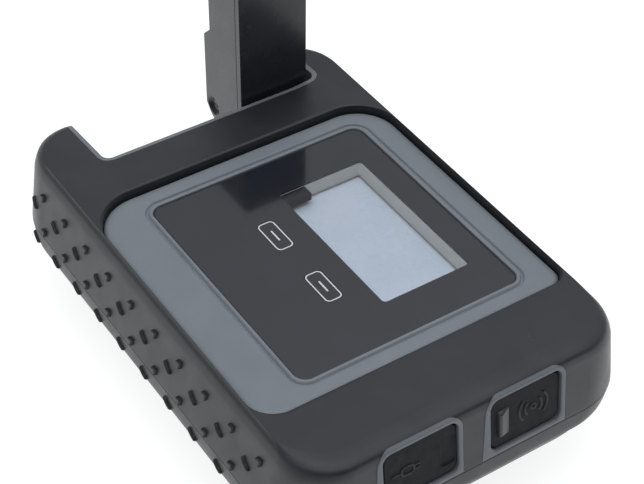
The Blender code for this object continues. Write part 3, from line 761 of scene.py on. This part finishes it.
def top_body():
    """Upper shell: one closed skin from the parting line over the rim, down round the bezel's
    seat and back along the hollow."""
    low = PARTING + SEAM / 2
    lip = [upper_ring(*wall_section(low + depth), inset) for inset, depth in LIP[:2]]
    outside = upper_rings(low + LIP[-1][1]) + [rim_ring(RIM_INNER)]
    seat = ((1.05, 31.99), (0.8, 31.95), (0.58, 31.84), (0.42, 31.66), (0.33, 31.4), (0.3, 31.1))
    rim = [[settled(p) for p in rectangle(grown(BEZEL_X, g), grown(BEZEL_Y, 0.21 + 0.3 * g),
                                          eased(BEZEL_CORNERS, g), z, BODY_ARC)] for g, z in seat]
    seat_z = BEZEL_Z[0] - CAD_GAP
    floor_corners = eased(BEZEL_CORNERS, CAD_GAP)
    floor = [rectangle(grown(BEZEL_X, CAD_GAP), grown(BEZEL_Y, CAD_GAP), floor_corners, seat_z, BODY_ARC)]
    floor += [rectangle((-23.0, 34.0), (-26.5, 28.5), 4.0, z, BODY_ARC) for z in (seat_z, HOLLOW_ROOF)]
    hollow = [hollow_ring(HOLLOW_ROOF), hollow_ring(low)]
    shell = loft("top_body", lip + outside + rim + floor + hollow, closed=True)
    carve(shell, *end_openings(), shaft_hole(BUSH_HOLE))
    piece(shell, RUBBER, "housing", ["top_shell"])


def bottom_body():
    """Lower shell with the battery well, the door's recess and four deep screw holes."""
    top = PARTING - SEAM / 2
    lip = [body_ring(top - depth, grown((BAY_END, PORT_END), -inset), HALF_WIDTH - inset, CORNERS)
           for inset, depth in reversed(LIP)]
    shell = loft("bottom_body", lower_rings(top) + lip)
    hollow = prism("hollow", HOLLOW_X, about(0.0, HOLLOW_HALF_WIDTH), HOLLOW_CORNER, (HOLLOW_FLOOR, 30.0))
    well = prism("well", grown(WELL_X, CAD_GAP), grown(WELL_Y, CAD_GAP), WELL_CORNER, (WELL_FLOOR, 20.0))
    mouth = ((0.9, -1.0), (0.9, -0.02), (0.45, 0.1), (0.3, 0.4), (0.3, WELL_FLOOR + 0.9))
    door = loft("door", growing(DOOR_X, DOOR_Y, DOOR_CORNER, mouth))
    carve(shell, hollow, *end_openings(), well, door, shaft_hole(BUSH_HOLE))
    for number in (1, 2, 3, 4):
        x, y = middle(f"shell_screw_{number}", X), middle(f"shell_screw_{number}", Y)
        profile = ((3.0, -2.0), (3.0, 13.6), (1.5, 13.6), (1.5, 26.0))
        carve(shell, turned("head", profile, sides=40, place=upright(x, y)))
    piece(shell, RUBBER, "housing", ["bottom_shell"])


def bay_lining():
    """Hard lining of the antenna bay, its edge flush with the rubber, with a pivot boss."""
    lining = bay_block("bay_lining", LINER)
    carve(lining, outside_block("outside"), operation="INTERSECT")
    carve(lining, bay_block("inner", 0.0, (-3.0, 37.0)))
    boss = ((SHAFT + 1.9, 0.0), (SHAFT + 1.9, 0.45), (SHAFT + 1.7, 0.7), (SHAFT, 0.7), (SHAFT, 0.0))
    into_bay = axes_frame((BAY_X + 0.2, AXIS_Y, AXIS_Z), (0, -1, 0), (0, 0, 1))
    carve(lining, turned("boss", boss, place=into_bay), operation="UNION")
    carve(lining, shaft_hole(SHAFT + CAD_GAP))
    piece(lining, LINING, "housing", ["bay_liner"])


# ---------- grip marks
MARK_COLUMNS, MARK_PITCH, MARK_HEIGHT = 9, 9.15, 0.6
BAR = ((0.16, -1.15), (0.0, -0.4), (0.0, 0.4), (0.18, 1.15))
CHEVRON = ((-0.5, -0.72), (0.4, -0.11), (0.52, 0.0), (0.4, 0.11), (-0.5, 0.72))
# kind, where the row's first mark stands along the wall, and its height above the parting line
MARK_ROWS = (("bar", -43.7, -2.4), ("chevron", -39.5, 1.75), ("bar", -35.9, 5.35), ("chevron", -32.25, 9.05))
# outline, width of its line, and how far it leans
MARKS = {"bar": (BAR, 0.82, math.radians(58)), "chevron": (CHEVRON, 0.52, math.radians(45))}
CLEAR_OF_WALL = 6.0       # the marks are laid on the wall from this far out


def wall_skin():
    """The body's outside, to lay the marks on."""
    skin = outside_block("skin")
    tree = BVHTree.FromPolygons([v.co.copy() for v in skin.data.vertices],
                                [tuple(p.vertices) for p in skin.data.polygons])
    remove(skin)
    return tree


def grip_frame(side):
    """On a long side wall, side -1 or +1: local y up the wall, z out of it."""
    up = (0, -side * math.sin(GRIP_TILT), math.cos(GRIP_TILT))
    return axes_frame((0, side * HALF_WIDTH, PARTING), (-side, 0, 0), up)


def leaning(outline, turn):
    """A mark's outline turned so that it points up and along the wall."""
    sine, cosine = math.sin(turn), math.cos(turn)
    return [(x * cosine - y * sine, x * sine + y * cosine) for x, y in outline]


def grip_marks(side, word, skin):
    """Rows of raised bars and chevrons that climb along the wall."""
    place = grip_frame(side)
    outward = place.to_3x3() @ Vector((0, 0, 1))
    shapes = []
    for row, (kind, first, rise) in enumerate(MARK_ROWS):
        outline, width, lean = MARKS[kind]
        points, faces = stroke(leaning(outline, lean), width, MARK_HEIGHT)
        for column in range(-1 if row > 1 else 0, MARK_COLUMNS):
            laid = []
            for p in points:
                along = first + MARK_PITCH * column + p.x
                above = place @ Vector((-side * along, rise + p.y, CLEAR_OF_WALL))
                hit, normal, _, _ = skin.ray_cast(above * MM, -outward)
                laid.append(hit / MM + normal * (p.z if normal.dot(outward) > 0 else -p.z))
            shapes.append((laid, faces))
    marks = make(f"{word}_grip_marks", *gathered(shapes))
    piece(marks, GRIP, "housing", [f"{word}_grip"], angle=50.0)


# ---------- front panel
THROUGH = (25.0, 35.0)    # cutters reach through the panel between these heights
PANE = 0.3                # thickness of the clear window
PRINT = 0.025             # how far printed lines stand out
KEY_FOOT, KEY_FLANGE_Z, KEY_STEM_Z = 28.4, (28.2, 28.8), (27.7, 28.6)
KEY_FLANGE = 0.7          # the flange under a key's cap stands out this far
TRAY_Z, TRAY_SLOPE_FOOT = (27.6, 28.8), 28.25


def bezel_frame():
    """Grey surround with a rounded outer edge and a shallow channel round the glass."""
    outer = ((0.25, 27.0), (0.0, 27.3), (0.0, 29.75), (0.05, 30.0), (0.2, 30.22), (0.5, 30.42), (1.0, 30.54),
             (1.6, 30.59), (2.2, 30.6))
    glass_seat = GLASS_Z[0] - CAD_GAP
    inner = ((1.95, 30.6), (1.75, 30.57), (1.6, 30.42), (1.45, 30.16), (1.2, 30.13), (1.0, 30.35),
             (0.85, 30.56), (0.7, 30.6), (0.5, 30.6), (0.3, 30.56), (0.2, 30.46), (0.18, 30.2),
             (0.18, glass_seat), (-2.6, glass_seat), (-2.6, 27.0))
    rings = [rectangle(grown(BEZEL_X, -inset), grown(BEZEL_Y, -inset), eased(BEZEL_CORNERS, -inset), z, 16)
             for inset, z in outer]
    rings += [rectangle(grown(GLASS_X, g), grown(GLASS_Y, g), max(GLASS_CORNER + g, 1.2), z, 16)
              for g, z in inner]
    surround = loft("bezel_frame", rings, closed=True)
    piece(surround, BEZEL, "housing", ["bezel"], angle=50.0)


def key_ends(side):
    """The key cap's ends along X and Y, from its node and its flange."""
    return tuple(grown(ends, -KEY_FLANGE) for ends in spans(f"{side}_key")[:2])


def gloss_panel():
    panel = slab("gloss_panel", grown(GLASS_X, 0.06), GLASS_Y, GLASS_Z, GLASS_CORNER, soft=0.12, arc=16)
    carve(panel, prism("window", WINDOW_X, WINDOW_Y, WINDOW_CORNER, THROUGH))
    for side in ("left", "right"):
        x, y = (grown(ends, 0.08) for ends in key_ends(side))
        carve(panel, prism("key_hole", x, y, KEY_CORNER + 0.08, THROUGH))
    piece(panel, GLOSS, "housing", ["glass_panel"])


def window_pane():
    z = (GLASS_Z[1] - PANE, GLASS_Z[1])
    pane = slab("window_pane", grown(WINDOW_X, -0.02), grown(WINDOW_Y, -0.02), z, WINDOW_CORNER, soft=0.03)
    piece(pane, CLEAR, "housing", ["display_window"])


def printed_outline(name, x, y, corner, width):
    """A printed outline: a thin flat band of ink that stands on the panel."""
    half, face = width / 2, GLASS_Z[1]
    section = ((-half, face), (-half + 0.03, face + PRINT), (half - 0.03, face + PRINT), (half, face))
    return loft(name, growing(x, y, corner, section), closed=True)


def key_cap(side):
    """A key flush with the panel, on a flange and stem, with its printed outline and dash."""
    x, y = key_ends(side)
    centre = (sum(x) / 2, sum(y) / 2)
    cap = slab(f"{side}_key_cap", x, y, (KEY_FOOT, GLASS_Z[1]), KEY_CORNER, soft=0.1)
    flange = slab("flange", grown(x, KEY_FLANGE), grown(y, KEY_FLANGE), KEY_FLANGE_Z, 1.7, soft=0.15)
    stem = turned("stem", [(0.9, z) for z in KEY_STEM_Z], sides=24, place=upright(*centre))
    piece(fuse(cap, flange, stem), GLOSS, f"{side}_key", [f"{side}_key"])
    line = printed_outline(f"{side}_key_print", grown(x, -0.22), grown(y, -0.22), 0.9, 0.28)
    dash_z = (GLASS_Z[1] - 0.02, GLASS_Z[1] + PRINT)
    dash = slab("dash", about(centre[0], 1.6), about(centre[1], 0.17), dash_z, 0.15, soft=0.015, arc=6)
    piece(fuse(line, dash), INK, f"{side}_key")


def display_pieces():
    """The display in its warm grey tray, and a black block just under the pane at the window's -X -Y corner.
    """
    x, y = WINDOW_X, WINDOW_Y
    foot, shelf = TRAY_Z
    under_pane = GLASS_Z[1] - PANE
    top = under_pane - 0.05
    profile = ((2.0, foot), (2.0, shelf), (-0.03, shelf), (-0.03, top), (-0.12, top), (-1.1, TRAY_SLOPE_FOOT),
               (-1.1, foot))
    rings = [rectangle(grown(x, g), grown(y, g), max(g, 0.0) * 0.5 + 0.5, z) for g, z in profile]
    piece(loft("display_tray", rings, closed=True), WARM, "housing", ["display_frame"])
    screen = slab("display_screen", grown(x, 2.2), grown(y, 2.2), span("display_module", Z), 0.8, soft=0.1)
    piece(screen, DISPLAY, "housing", ["display_module"])
    # a black block on the display_flex node, grown and raised to just under the pane at the window's -X -Y
    # corner
    block_x, block_y, block_z = spans("display_flex")
    block_z = (block_z[0] + 0.6, under_pane - 0.04)
    tail = slab("display_corner_block", grown(block_x, 0.25), grown(block_y, 0.15), block_z, 0.4, soft=0.2)
    piece(tail, COVER, "housing", ["display_flex"])


# ---------- ports
PORT_BAND = 1.0           # width of a port's grey frame
COVER_INSET, COVER_FACE, COVER_THICKNESS, COVER_CORNER = PORT_BAND + 0.12, -0.35, 1.5, 2.1
COVER_X, COVER_Y = about(0.0, PORT_HALF_WIDTH - COVER_INSET), grown(PORT_V, -COVER_INSET)
COVER_MIDDLE = sum(COVER_Y) / 2
HINGE_SIDE_GAP = 0.2
SYMBOL_HEIGHT, ALERT_LINE, SOCKET_LINE = 0.22, 0.5, 0.45


def alert_symbol(centre):
    """A dot between two pairs of arcs."""
    shapes = [stroke(arc_points(centre, 0.55, 0, 345, 14), ALERT_LINE, SYMBOL_HEIGHT, closed=True)]
    for radius in (1.9, 3.2):
        for start in (-42.0, 138.0):
            arc = arc_points(centre, radius, start, start + 84.0, 12)
            shapes.append(stroke(arc, ALERT_LINE, SYMBOL_HEIGHT))
    return gathered(shapes)


def socket_symbol(centre):
    """A plug with two prongs and a tail."""
    x, y = centre
    body = [(x - 1.2, y - 0.9), (x + 0.6, y - 0.9), (x + 1.0, y - 0.5), (x + 1.0, y + 0.5),
            (x + 0.6, y + 0.9), (x - 1.2, y + 0.9), (x - 1.6, y + 0.5), (x - 1.6, y - 0.5)]
    lines = [[(x + 1.1, y + offset), (x + 2.2, y + offset)] for offset in (-0.45, 0.45)]
    lines.append([(x - 1.7, y), (x - 2.6, y), (x - 3.6, y - 0.1)])
    return gathered([stroke(body, SOCKET_LINE, SYMBOL_HEIGHT, closed=True),
                     *(stroke(line, SOCKET_LINE, SYMBOL_HEIGHT) for line in lines)])


def cover_tab():
    """A wedge that a fingernail lifts the cover by."""
    x, foot, crest = COVER_X[0] + 2.6, COVER_FACE - 0.2, COVER_FACE + 0.75
    ends = [[(x - 1.2, v, foot), (x - 0.8, v + lean, crest), (x - 0.3, v + lean, crest), (x + 2.0, v, foot)]
            for v, lean in ((COVER_MIDDLE - 3.5, 0.6), (COVER_MIDDLE + 2.8, -0.6))]
    return soften(loft("cover_tab", ends), 0.22, 20.0)


def finger_scoop():
    """A shallow dish to cut into a cover near its free edge."""
    profile = ((-0.5, -0.32), (-0.2, -0.3), (0.1, -0.2), (0.35, 0.02), (0.4, 0.6))
    return loft("scoop", growing(about(COVER_X[1] - 2.0, 1.5), about(COVER_MIDDLE, 3.3), 0.8,
                                 [(g, COVER_FACE + z) for g, z in profile]))


def port_surround(port):
    section = ((0.0, -2.6), (0.0, 0.0), (0.06, 0.09), (0.18, 0.14), (0.45, 0.15), (PORT_BAND - 0.3, 0.14),
               (PORT_BAND - 0.12, 0.08), (PORT_BAND, -0.08), (PORT_BAND, -2.6))
    surround = loft(f"{port}_surround", [port_outline(*step) for step in section], closed=True,
                    place=port_frame(port))
    piece(surround, PORT_GREY, "housing", [f"{port}_frame"], angle=40.0)


def cover_symbol(port, lines):
    points, faces = lines
    return make(f"{port}_symbol", [p + Vector((0, 0, COVER_FACE)) for p in points], faces)


def port_cover(port):
    """The cover of a port: a flap with a tab or a scoop for a finger, and a raised symbol."""
    low, high = COVER_X
    flap_x = (low, high - HINGE_SIDE_GAP) if port == "sos" else (low + HINGE_SIDE_GAP, high)
    flap_z = (COVER_FACE - COVER_THICKNESS, COVER_FACE)
    flap = slab(f"{port}_flap", flap_x, COVER_Y, flap_z, COVER_CORNER, soft=0.3)
    tabs = []
    if port == "sos":
        tabs.append(cover_tab())
        mark = cover_symbol(port, alert_symbol((low + 9.6, COVER_MIDDLE)))
    else:
        carve(flap, finger_scoop())
        mark = cover_symbol(port, socket_symbol((low + 5.4, COVER_MIDDLE)))
    place = port_frame(port)
    for shape in (flap, mark, *tabs):
        for vertex in shape.data.vertices:
            vertex.co = (place @ (vertex.co / MM)) * MM
    piece(flap, COVER, f"{port}_cover", [f"{port}_cover"])
    piece(mark, GRIP, f"{port}_cover", angle=50.0)
    for tab in tabs:
        piece(tab, BLACK, f"{port}_cover")


def alert_button():
    """Red button behind its cover, with a dished face."""
    place = along_x(0.0, middle("sos_button", Y), middle("sos_button", Z))
    back, front = span("sos_button", X)
    profile = ((1.3, back), (1.3, back + 1.1), (3.1, back + 1.2), (3.2, back + 1.4), (3.2, front - 0.5),
               (3.12, front - 0.22), (2.9, front - 0.05), (2.6, front), (2.3, front - 0.1),
               (1.2, front - 0.32), (0.3, front - 0.36))
    button = turned("alert_button", profile, place=place)
    piece(button, RED, "sos_button", ["sos_button"], angle=40.0)


# ---------- antenna
STEP_X, STEP_Z = -53.6, 41.2           # the case is thinner above the step
FOOT_CUT = ((-60.0, 5.0), (-60.0, 22.0), (ANTENNA_X[0], 22.0), (-51.5, 16.5), (-51.5, 5.0))
TIP_CORNER, FOOT_STEPS = 1.0, 28
ANTENNA_SEAM = 0.03
GROOVES, GROOVE_PITCH = 5, 1.7


def antenna_outline(x):
    """The antenna's side view: a half-round foot about the hinge axis and a square tip."""
    half = (ANTENNA_Y[1] - ANTENNA_Y[0]) / 2
    turns = [math.pi * (1 + i / FOOT_STEPS) for i in range(FOOT_STEPS + 1)]
    foot = [(AXIS_Y + half * math.cos(t), AXIS_Z + half * math.sin(t)) for t in turns]
    tip = [(AXIS_Y + half, ANTENNA_TIP - TIP_CORNER), (AXIS_Y + half - TIP_CORNER, ANTENNA_TIP),
           (AXIS_Y - half + TIP_CORNER, ANTENNA_TIP), (AXIS_Y - half, ANTENNA_TIP - TIP_CORNER)]
    return [(x, y, z) for y, z in foot + tip]


def extruded_y(name, outline, y):
    return loft(name, [[(x, end, z) for x, z in outline] for end in y])


def antenna_screw_frame():
    """On the antenna's -Y side, over its fixing: local z out of the side."""
    origin = (middle("antenna_screw", X), ANTENNA_Y[0], middle("antenna_screw", Z))
    return axes_frame(origin, (1, 0, 0), (0, 0, 1))


def antenna_case():
    """The case, deeper near the hinge, with finger grooves at its tip."""
    case = loft("antenna_body", [antenna_outline(x) for x in (ANTENNA_X[0], LID_X - ANTENNA_SEAM)])
    wide = grown(ANTENNA_Y, 3.0)
    step = [(-60.0, STEP_Z - 1.2), (-60.0, 70.0), (STEP_X, 70.0), (STEP_X, STEP_Z + 1.2),
            (ANTENNA_X[0], STEP_Z - 1.2)]
    carve(case, extruded_y("step", step, wide), extruded_y("foot", FOOT_CUT, wide))
    mouth, bottom = STEP_X - 1.0, STEP_X + 0.3
    for number in range(GROOVES):
        z = ANTENNA_TIP - 3.5 - GROOVE_PITCH * number
        groove = [(mouth, z - 0.55), (bottom, z - 0.3), (bottom, z + 0.3), (mouth, z + 0.55)]
        carve(case, extruded_y("groove", groove, grown(ANTENNA_Y, -2.5)))
    soften(case, 0.22, 28.0)
    seat = ((1.45, -3.6), (1.45, -0.8), (2.3, 0.02), (2.5, 1.0))
    carve(case, turned("screw_seat", seat, place=antenna_screw_frame()),
          shaft_hole(SHAFT + CAD_GAP, (-47.5, -35.0)))
    piece(case, BLACK, "antenna", ["antenna_case"])


def antenna_lid():
    lid = soften(loft("antenna_front", [antenna_outline(x) for x in (LID_X, ANTENNA_X[1])]), 0.12, 28.0)
    carve(lid, shaft_hole(SHAFT + 0.1, (-48.0, -35.0)))
    piece(lid, BLACK, "antenna", ["antenna_lid"])


def antenna_fixing():
    place = antenna_screw_frame()
    profile = ((0.7, -3.4), (1.25, -1.5), (1.35, -0.9), (1.25, -0.7), (0.6, -0.62))
    head = turned("antenna_fixing", profile, place=place)
    slot = prism("slot", about(0.0, 0.95), about(0.0, 0.16), 0.05, (-1.0, 0.5), arc=3, place=place)
    piece(carve(head, slot), DARK_STEEL, "antenna", ["antenna_screw"])


# ---------- underside
HEAD_TOP = 13.2           # where a shell screw's head meets the bottom of its hole
RIDGES, RIDGE_PITCH, FIRST_RIDGE_X = 5, 1.3, 25.4
RING_RADIUS, RING_WIRE, RING_SIDES = 3.85, 0.44, 14


def shell_screw(number):
    """Socket-head screw at the bottom of its hole, seen from below."""
    node = f"shell_screw_{number}"
    low, high = span(node, Z)
    profile = ((1.6, low), (2.3, low + 0.12), (2.55, low + 0.4), (2.6, low + 0.8), (2.6, HEAD_TOP),
               (1.1, HEAD_TOP + 0.1), (1.1, high - 0.7), (0.7, high))
    place = upright(middle(node, X), middle(node, Y))
    head = turned(f"{node}_head", profile, place=place)
    carve(head, turned("socket", ((1.15, low - 1.0), (1.15, low + 1.1)), sides=6, place=place))
    piece(head, STEEL, "housing", [node])


def door_panel():
    """Battery door with a blank label recess, finger ridges and a seat for its screw."""
    door = slab("door_panel", DOOR_X, DOOR_Y, DOOR_Z, DOOR_CORNER, soft=0.2, soft_below=0.45, arc=16)
    face = DOOR_Z[0]
    label = ((0.25, face - 1.0), (0.25, face - 0.01), (0.0, face + 0.18))
    tools = [loft("label", growing((-12.0, 22.0), (-15.0, 15.0), 2.0, label))]
    ridge = ((0.25, face - 1.0), (0.2, face - 0.01), (-0.1, face + 0.3))
    for number in range(RIDGES):
        x = FIRST_RIDGE_X + RIDGE_PITCH * number
        tools.append(loft("ridge", growing(about(x, 0.35), about(0.0, 11.0), 0.34, ridge)))
    seat = ((6.4, -1.0), (6.1, face), (5.8, face + 0.35), (5.8, 1.5), (2.0, 1.5), (2.0, 4.0))
    tools.append(turned("head", seat, place=upright(SCREW_X, 0.0)))
    piece(carve(door, *tools), BLACK, "battery_door", ["battery_door"])


def door_fixing():
    """The door's captive screw, and the ring that turns it."""
    place = upright(SCREW_X, 0.0)
    profile = ((3.0, 0.62), (4.9, 0.5), (5.15, 0.62), (5.2, 0.8), (5.2, 1.2), (1.4, 1.2), (1.4, 11.0),
               (1.0, 11.6))
    head = turned("door_fixing", profile, place=place)
    ring_seat = ((4.65, -0.5), (4.65, 0.85), (3.05, 0.85), (3.05, -0.5))
    notch = prism("notch", about(0.0, 2.3), about(0.0, 0.45), 0.2, (-1.0, 0.95), arc=4, place=place)
    carve(head, turned("seat", ring_seat, closed=True, place=place), notch)
    piece(head, STEEL, "door_screw", ["door_screw"])
    low, high = span("door_ring", Z)
    middle_z, half = (low + high) / 2, (high - low) / 2
    turns = (2 * math.pi * i / RING_SIDES for i in range(RING_SIDES))
    wire = [(RING_RADIUS + RING_WIRE * math.cos(t), middle_z + half * math.sin(t)) for t in turns]
    pull = turned("door_pull", wire, closed=True, sides=64, place=place)
    piece(pull, STEEL, "door_ring", ["door_ring"], angle=60.0)


def battery_pieces():
    """The battery, shrink-wrapped, with a blank label."""
    x, y, z = spans("battery_pack")
    pack = slab("battery_cell", x, y, z, 2.2, soft=0.9)
    piece(pack, BATTERY, "housing", ["battery_pack"])
    label = slab("battery_label", grown(x, -5.0), grown(y, -4.0), (z[0] - 0.06, z[0] + 0.3), 1.0, soft=0.0,
                 soft_below=0.03)
    piece(label, CARD, "housing")


# ---------- CAD nodes that stay
INNER_FINISHES = (
    (CERAMIC, ("antenna_element", "wifi_antenna")),
    (BRASS, ("battery_connector", "hinge_bush", "screw_insert")),
    (BLACK, ("battery_well", "sos_switch")),
    (SEAL, ("door_seal", "shell_seal")),
    (BOARD, ("front_board", "main_board")),
    (STEEL, ("hinge_clip", "hinge_shaft", "left_switch", "right_switch", "usb_connector")),
    (TIN, ("modem_shield", "sim_holder", "wifi_shield")),
    (CARD, ("sim_card",)),
)


def finish_inner_nodes():
    for finish, nodes in INNER_FINISHES:
        for node in nodes:
            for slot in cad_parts[node].material_slots:
                slot.material = finish


# ---------- floor, light and camera
TABLE_REACH, TABLE_Z, TABLE_GLOW = 3000.0, -0.06, 0.85
WHITE = (1.0, 1.0, 1.0, 1.0)
SKY_TINT = (0.93, 0.965, 1.0, 1.0)
SKY_BASE, SKY_TOP, SKY_TOP_POWER, SKY_PORT_SIDE, SKY_REAR_SIDE = 0.33, 1.85, 5.0, -0.4, 0.3


def stage():
    corners = [(x * TABLE_REACH, y * TABLE_REACH, TABLE_Z) for x, y in ((-1, -1), (1, -1), (1, 1), (-1, 1))]
    table = make("floor", corners, [(0, 1, 2, 3)])
    paper = Finish("paper_floor", Roughness=0.9, Specular_IOR_Level=0.0, Emission_Strength=TABLE_GLOW,
                   Emission_Color=WHITE)
    paper.colour(paper.mix(paper.noise(400.0), (0.32, 0.32, 0.32), (0.35, 0.35, 0.35)))
    table.data.materials.append(paper.material)


def lights():
    """A soft tent: brightest overhead, darker on the port side and lighter on the rear side."""
    world = bpy.data.worlds.new("studio")
    bpy.context.scene.world = world
    world.use_nodes = True
    tree = world.node_tree
    parts = tree.nodes.new("ShaderNodeSeparateXYZ")
    connect(tree, tree.nodes.new("ShaderNodeTexCoord").outputs["Generated"], parts.inputs[0])
    up, to_ports, to_rear = (arithmetic(tree, "MAXIMUM", parts.outputs[axis], 0.0) for axis in (Z, X, Y))
    overhead = arithmetic(tree, "MULTIPLY", arithmetic(tree, "POWER", up, SKY_TOP_POWER), SKY_TOP)
    port_side = arithmetic(tree, "MULTIPLY", to_ports, SKY_PORT_SIDE)
    rear_side = arithmetic(tree, "MULTIPLY", to_rear, SKY_REAR_SIDE)
    total = arithmetic(tree, "ADD", overhead, arithmetic(tree, "ADD", port_side, rear_side))
    background = tree.nodes["Background"]
    connect(tree, SKY_TINT, background.inputs["Color"])
    connect(tree, arithmetic(tree, "ADD", total, SKY_BASE), background.inputs["Strength"])
    bpy.context.scene.view_settings.view_transform = "Standard"


CAMERA_PLACE = (204.12, -133.43, 248.9)
CAMERA_AZIMUTH, CAMERA_ELEVATION, CAMERA_ROLL = 56.14, 42.18, 0.75
LENS, SENSOR = 94.7, 36.0


def camera():
    """Seen from beyond the port end, above the front side."""
    turn, rise, roll = (math.radians(v) for v in (CAMERA_AZIMUTH, CAMERA_ELEVATION, CAMERA_ROLL))
    back = Vector((math.sin(turn) * math.cos(rise), -math.cos(turn) * math.cos(rise), math.sin(rise)))
    level = Vector((math.cos(turn), math.sin(turn), 0.0))
    above = back.cross(level)
    right = math.cos(roll) * level + math.sin(roll) * above
    up = -math.sin(roll) * level + math.cos(roll) * above
    data = bpy.data.cameras.new("camera")
    data.lens, data.sensor_width = LENS, SENSOR
    data.clip_start, data.clip_end = 0.005, 20.0
    holder = bpy.data.objects.new("camera", data)
    bpy.context.collection.objects.link(holder)
    columns = Matrix((right, up, back)).transposed().to_4x4()
    holder.matrix_world = Matrix.Translation(Vector(CAMERA_PLACE) * MM) @ columns
    bpy.context.scene.camera = holder


top_body()
bottom_body()
bay_lining()
outer_skin = wall_skin()
for side, word in ((-1, "front"), (1, "rear")):
    grip_marks(side, word, outer_skin)
bezel_frame()
gloss_panel()
window_pane()
for side in ("left", "right"):
    key_cap(side)
display_pieces()
for port in ("usb", "sos"):
    port_surround(port)
    port_cover(port)
alert_button()
antenna_case()
antenna_lid()
antenna_fixing()
for number in (1, 2, 3, 4):
    shell_screw(number)
door_panel()
door_fixing()
battery_pieces()
finish_inner_nodes()
stage()
lights()
camera()
